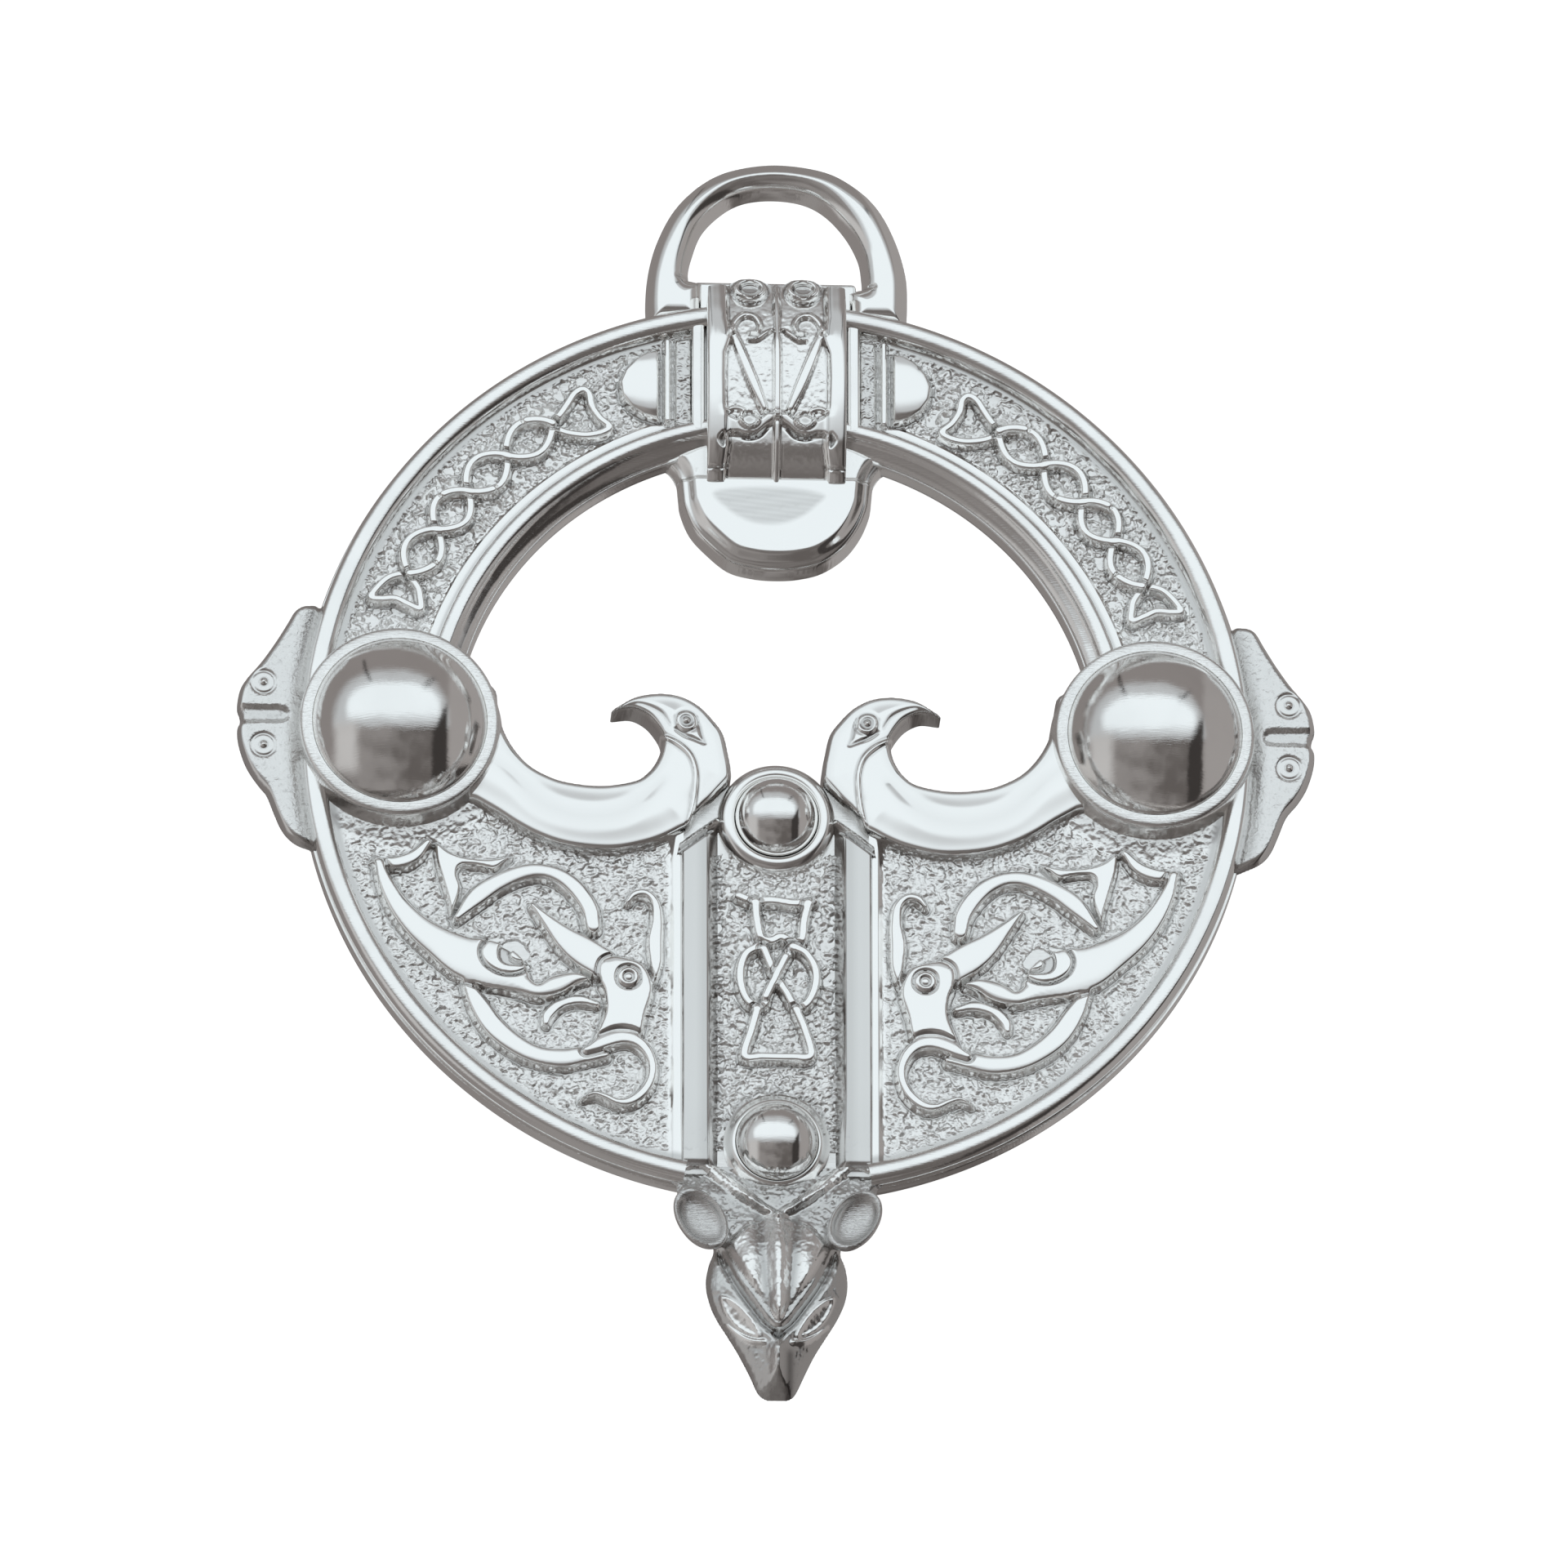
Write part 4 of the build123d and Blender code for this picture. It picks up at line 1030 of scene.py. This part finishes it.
def on_side(rows, side):
    """Rows drawn on the right, left there (1) or mirrored to the left (-1)."""
    return [(side * row[0], *row[1:]) for row in rows]


mask_outline = [
    (-7, -31.9), (7, -31.9), (7.1, -33.4), (6.8, -35), (5.8, -36.6), (4.85, -37.3), (4.5, -38.2),
    (4.85, -39.3), (5, -40.6), (4.8, -41.9), (4.2, -43.3), (3.3, -44.8), (2.55, -46.1), (1.85, -47.6),
    (1.3, -48.7), (0.8, -49.1), (0, -49.15), (-0.8, -49.1), (-1.4, -48.6), (-2, -47.4), (-2.7, -46),
    (-3.45, -44.7), (-4.35, -43.2), (-4.85, -41.9), (-5.05, -40.6), (-4.85, -39.3), (-4.5, -38.2),
    (-4.8, -37.3), (-5.8, -36.6), (-6.8, -35), (-7.1, -33.4),
]
mask, x, y, depth = sawn_sheet("mask", flow(mask_outline, True, 5), 0.09)
height = 1.5 + rounded(depth)
height += 1.5 * smooth((depth - 0.2) / 3.0) * smooth((-34.8 - y) / 4.5)
height -= (height - 1.74) * smooth((y + 34.4) / 2.4) + 0.45 * smooth((-47.3 - y) / 1.9)
seen = y + SLANT * (height - 3.0)
wax = Wax(x, seen, height)
wax.ground = 0.25 + 0.65 * smooth((seen + 39.5) / 3.0)
# The whole mask is darkened a little.
wax.shade_and_tarnish[:] = 0.48
shoulder = [
    (6.8, -32.6, 0.3), (5.4, -32.2, 0.5), (4.2, -32.9, 0.55), (2.7, -34.1, 0.5), (1.3, -35.1, 0.45),
    (0, -35.9, 0.4),
]
for side in (-1, 1):
    arc = wax.band(on_side(shoulder, side))
    wax.lay(arc, 0.22, 0.5, 0.25, 0.4, 0.08, over=True, matt=0.6, shade_and_tarnish_strength=0.35)
brow = [
    (-0.9, -35.8), (-2.4, -36.6), (-3.55, -37.9), (-3.5, -38.6), (-2.6, -40.2), (-1.6, -41.6),
    (-0.7, -42.9),
]
plate_area = wax.area(both_halves(brow, (0, -43.75)))
wax.lay(plate_area, 0.4, 0.5, 0.0, 0.4, 0.1, over=True, matt=0.4, shade_and_tarnish_strength=0.3)
pick, depth, _ = plate_area
px, py = x[pick], seen[pick]
down = np.clip((-36.0 - py) / 7.0, 0, 1)
valley = hump(np.abs(px) - 1.45 + 0.75 * down, 0.7 - 0.25 * down)
wax.height[pick] -= 0.36 * valley * smooth(depth / 0.5)
wax.height[pick] += 0.5 * hump(px, 0.55) * smooth(depth / 0.5)
# Painted shade in the valleys, and a painted highlight down the middle of the plate.
wax.shade_and_tarnish[pick] = np.maximum(wax.shade_and_tarnish[pick], 0.62 * valley**2)
wax.shade_and_tarnish[pick] -= 0.45 * hump(px, 0.4) * smooth((-37.0 - py) / 1.5)
trough = [
    (4, -38.7, 0.02), (3.6, -39.9, 0.05), (2.8, -41.3, 0.08), (1.9, -42.6, 0.1), (1, -43.8, 0.1),
    (0, -44.6, 0.1),
]
almond = [
    (4.15, -42), (3.4, -42.1), (2.5, -42.8), (1.7, -43.8), (1.15, -45.1), (2, -45), (3, -44.4),
    (3.8, -43.3),
]
lid = [(3.6, -44.2, 0.15), (2.7, -44.95, 0.25), (1.9, -45.35, 0.32), (1.1, -45.4, 0.3)]
for side in (-1, 1):
    # Painted shade in the troughs; the eyes' dishes are left lighter.
    wax.carve(wax.band(on_side(trough, side)), 1.0, 0.5, 1.6)
    pick, depth, wide = wax.area(on_side(almond, side))
    wax.lay((pick, depth, wide), 0.3, 0.2, 0.0, 0.25, 0.05, over=True, matt=0.25, shade_and_tarnish_strength=0.5)
    wax.carve((pick, depth - 0.22, wide), 0.28, 0.12, 0.1)
    wax.shade_and_tarnish[pick] -= 0.4 * smooth((depth - 0.15) / 0.2)
    wax.lay(wax.band(on_side(lid, side)), 0.22, 0.3, 0.1, 0.2, 0.05, over=True, shade_and_tarnish_strength=0.2)
wax.height += 0.45 * hump(x, 0.6) * smooth((-45.1 - seen) / 0.8) * smooth((seen + 49.4) / 1.6)
# Painted shade down the right of the nose and a painted highlight on its left.
wax.shade_and_tarnish += 0.5 * hump(x - 0.85, 0.3) * smooth((-45.6 - seen) / 0.8)
wax.shade_and_tarnish -= 0.4 * hump(x + 0.35, 0.3) * hump(seen + 46.8, 1.0)
wax.y = y
wax.put_on(mask)
soften(mask, 7)
punch_ground(mask, 0.12, 0.45)
close_below(mask, 0.05, 0.82, (0, -37))
# A very dark colour for the mask's painted shade in the troughs and valleys, and its tarnish.
mask_silver = cast_finish("mask_silver", 0.4, 0.04, 0.12, shade_and_tarnish_colour=(0.06, 0.056, 0.053))
set_on_frame(mask, mask_silver, 60)
ear_profile = [
    (1.2, 0.6), (1.75, 1.4), (2.2, 2.2), (2.45, 2.85), (2.5, 3.15), (2.42, 3.36), (2.25, 3.42),
    (2.08, 3.34), (1.9, 3.1), (1.6, 2.85), (1.1, 2.68), (0.6, 2.62), (0, 2.6), (0, 0.6),
]
ear = turned("mask_ear_left", ear_profile, steps=120)
tilt = radians(-56)
points = points_of(ear) * (1, 0.66, 1)
across, along = points[:, 0].copy(), points[:, 1].copy()
points[:, 0] = across * cos(tilt) - along * sin(tilt)
points[:, 1] = across * sin(tilt) + along * cos(tilt)
put_points(ear, points + (-5.45, -36.2, 0))
ear_silver = polished_finish("ear_silver", 0.22, 0.05, 0.16, (0.72, 0.71, 0.70))
for piece in (ear, other_side(ear, "mask_ear_right")):
    set_on_frame(piece, ear_silver, 50)

# Tab: the half-round plate below the strap, with a broad rounded edge, that hangs in the opening.
# A darker, faintly streaked and slightly matt patch is painted on its top.
tab_outline = [
    (-8.6, 22.3), (-7.6, 21.5), (-7.05, 20.6), (-6.9, 19.4), (-6.75, 18.3), (-6.1, 16.7), (-5, 15.4),
    (-3.4, 14.05), (-1.7, 13.55), (0, 13.42), (1.7, 13.55), (3.4, 14.05), (5, 15.2), (6.1, 16.7),
    (6.75, 18.3), (6.9, 19.4), (7.05, 20.6), (7.6, 21.5), (8.6, 22.3), (5, 24.3), (0, 24.6), (-5, 24.3),
]
tab, x, y, depth = sawn_sheet("tab", flow(tab_outline, True, 5), FINE_SQUARES)
wax = Wax(x, y, 0)
wax.height = 0.6 + 1.35 * rounded(depth / 0.55) + 0.72 * smooth((depth - 0.45) / 0.95)
under_strap = smooth((y - 20.2) / 0.5)
wax.height -= 0.7 * under_strap
wax.ground = 0.6 * under_strap
patch = [
    (-4.4, 19.3), (-3.6, 17.9), (-1.9, 16.9), (0, 16.7), (1.6, 17.2), (2.9, 18.2), (3.4, 19.2),
    (0, 19.7),
]
pick, depth, _ = wax.area(patch)
streaks = 0.86 + 0.08 * np.sin(17 * y[pick] + 1.9 * x[pick]) + 0.06 * np.sin(7 * y[pick] - x[pick])
wax.shade_and_tarnish[pick] = 0.5 * smooth((depth + 0.15) / 0.5) * streaks
wax.ground[pick] = np.maximum(wax.ground[pick], 0.25 * smooth(depth / 0.5))
wax.put_on(tab)
close_below(tab, 0.05)
set_on_frame(tab, arm_silver, 50)

# Loop: a half ring of rounded silver bar on two square feet, cast in one with the rim, with a low
# shelf between the feet where the strap ends.
outside = [
    (-9.15, 32.2), (-9.24, 34.3), (-9.05, 36.6), (-8.4, 39), (-7.2, 41.4), (-5.5, 43.2), (-3.3, 44.4),
    (0, 44.95), (3.5, 44.5), (5.8, 43.3), (7.5, 41.6), (8.7, 39.2), (9.4, 36.6), (9.5, 34.3),
    (9.4, 32.2),
]
inside = [
    (6.3, 35.5), (6.25, 36.5), (6, 38), (5.1, 39.8), (3.7, 41.4), (2.1, 42.3), (0, 42.6), (-2.1, 42.35),
    (-3.7, 41.5), (-5.2, 39.9), (-5.95, 37.9), (-6.2, 36.6), (-6.15, 35.9),
]
right_foot = [(5.1, 32.2), (5.1, 35), (5.3, 35.15)]
left_foot = [(-5.25, 35.7), (-5.05, 35.5), (-5.05, 32.2)]
loop_outline = np.vstack([flow(outside), right_foot, flow(inside), left_foot])
loop, x, y, depth = sawn_sheet("top_loop", loop_outline, FINE_SQUARES)
wax = Wax(x, y, 0)
wax.height = 0.7 + 1.95 * rounded(depth / 1.6)
wax.ground[:] = 0
# Short cuts in the inner corners by the feet, darkened with painted shade.
wax.carve(wax.band([(-6.1, 36.0, 0.1), (-6.5, 35.9, 0.05), (-7.0, 35.9, 0.02)]), 0.35, 0.2, 0.4)
wax.carve(wax.band([(6.2, 35.4, 0.1), (6.6, 35.3, 0.05), (7.1, 35.3, 0.02)]), 0.35, 0.2, 0.4)
wax.put_on(loop)
soften(loop, 2)
close_below(loop, 0.05)
set_on_frame(loop, arm_silver, 60)
shelf = filed_block("loop_shelf", (11.6, 3.2, 1.6), (0, 34.1, 0.86), 0.3)
set_on_frame(shelf, bright_silver, 50)

# Strap: the arched band over the ring, cast by itself and set between the tab and the loop. Raised
# strips, a rib and two struts stand over a matt field, with curls at the top and over the windows.
strap_edge = [
    (4.95, 19.95), (4.95, 33), (4.9, 34.6), (3.6, 34.75), (3.2, 35.1), (2.6, 35.5), (1.9, 35.6),
    (1.2, 35.5), (0.6, 35.1),
]
strap, x, y, _ = sawn_sheet("strap_band", both_halves(strap_edge, (0, 34.95)), 0.1)
arch = flow([
    (19.8, 2.5), (20.8, 3.3), (22.3, 4.05), (24, 4.52), (26, 4.88), (28, 5.02), (30, 4.9), (32, 4.45),
    (33.6, 3.9), (35.7, 3.1),
])
top = np.interp(y, arch[:, 0], arch[:, 1])
seen = y + SLANT * (top - 3.0)
wax = Wax(x, seen, top - 0.5)
wax.ground = 0.6 * smooth((3.6 - np.abs(x)) / 0.1) * smooth((seen - 25.5) / 0.5)
wax.ground = 0.15 + wax.ground * smooth((33.3 - seen) / 0.4)
strip = [
    (5.2, 36), (5.2, 19), (3.45, 19), (3.45, 21.2), (3.25, 23), (3.3, 25), (3.5, 25.8), (3.55, 28),
    (3.5, 29.8), (3.1, 31), (3.35, 32.5), (3.35, 34), (3.4, 36),
]
for side in (-1, 1):
    pick, depth, wide = wax.area(on_side(strip, side), corners=True)
    wax.lay((pick, depth, wide), 0.4, 0.3, 0.15, 0.1, 0.05, over=True)
    wax.height[pick] += 0.15 * smooth(depth / 0.75)
hood = [
    (-0.8, 25.4), (-1.2, 25), (-2, 25.4), (-2.9, 24.9), (-3.6, 25.3), (-3.6, 23.6), (-2.9, 23.5),
    (-2.1, 23.3), (-1.3, 23.5), (-0.7, 24.1),
]
wax.lay(wax.area(both_halves(hood, (0, 24.7)), corners=True), 0.45, 0.3, 0.0, 0.15, 0.05, over=True)
strut = [(3.2, 31.6, 0.3), (2.6, 29.9, 0.42), (1.7, 27.5, 0.45), (0.95, 25.6, 0.34)]
curl = [
    (3.2, 31.4, 0.28), (3, 32.2, 0.3), (2.35, 32.75, 0.3), (1.6, 32.6, 0.28), (1.25, 32, 0.26),
    (1.45, 31.45, 0.22), (1.95, 31.4, 0.2),
]
wave = [(2.05, 30.85, 0.15), (1.5, 30.9, 0.22), (0.95, 31.3, 0.24), (0.4, 31.65, 0.18)]
low_curl = [
    (3.5, 25.5, 0.23), (3, 25.65, 0.25), (2.4, 25.45, 0.23), (2.65, 24.9, 0.19), (2.5, 24.35, 0.17),
    (2, 24.1, 0.17), (1.45, 24.35, 0.17), (1.35, 24.9, 0.19), (1.6, 25.3, 0.17),
]
window = [(2, 24.8, 0.5), (2, 24.82, 0.5)]
hood_line = [(2.9, 23.7, 0.05), (2.1, 23.45, 0.13), (1.3, 23.65, 0.14), (0.6, 24.35, 0.05)]
strip_nick = [(3.85, 23.6, 0.05), (3.95, 23.1, 0.2), (3.85, 22.6, 0.05)]
foot_line = [(4.9, 20.9, 0.08), (3.9, 20.9, 0.08), (3.45, 21.3, 0.05)]
for side in (-1, 1):
    for rows, top, bevel, crown, cut in (
        (strut, 0.42, 0.16, 0.06, 0.03),
        (curl, 0.38, 0.2, 0.1, 0.03),
        (wave, 0.35, 0.18, 0.08, 0.03),
        (low_curl, 0.2, 0.14, 0.05, 0.05),
    ):
        wax.lay(wax.band(on_side(rows, side)), top, bevel, crown, 0.1, cut, over=True, shade_and_tarnish_strength=0.4)
    wax.carve(wax.band(on_side(window, side)), 0.15, 0.12, 0.2)
    wax.carve(wax.band(on_side(hood_line, side)), 0.25, 0.1, 0.9)
    wax.carve(wax.band(on_side(strip_nick, side)), 0.3, 0.08, 1.0)
    wax.carve(wax.band(on_side(foot_line, side)), 0.2, 0.1, 0.6)
    roll = wax.area(on_side(oval(1.9, 34.65, 1.35, 0.95, 24), side), 2)
    wax.lay(roll, 0.75, 0.3, 0.0, 0.15, 0.1, over=True)
    dish = wax.area(on_side(oval(1.9, 34.65, 0.75, 0.45, 24), side), 2)
    wax.carve(dish, 0.5, 0.15, 0.4)
rib = [
    (0, 35.4, 0.12), (0, 33.5, 0.3), (0, 31.6, 0.26), (0, 30, 0.34), (0, 27, 0.34), (0, 25.4, 0.36),
    (0, 24.9, 0.3), (0, 22, 0.3), (0, 19.5, 0.32),
]
wax.lay(wax.band(rib), 0.45, 0.16, 0.06, 0.12, 0.05, over=True, shade_and_tarnish_strength=0.4)
wax.y = y
wax.put_on(strap)
soften(strap, 1)
punch_ground(strap, 0.07, 0.35)
close_below(strap, 1.85)
strap_silver = cast_finish("strap_silver", 0.35, 0.03, 0.09, 0.26)
set_on_frame(strap, strap_silver, 60)
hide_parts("strap")

# Pin: the hinge block, stem and catch behind the ring, one plain piece of filed silver. Its shape is
# the frame's own, and it takes the finish of the plate's back.
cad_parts["back_pin"].data.materials.clear()
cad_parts["back_pin"].data.materials.append(back_silver)
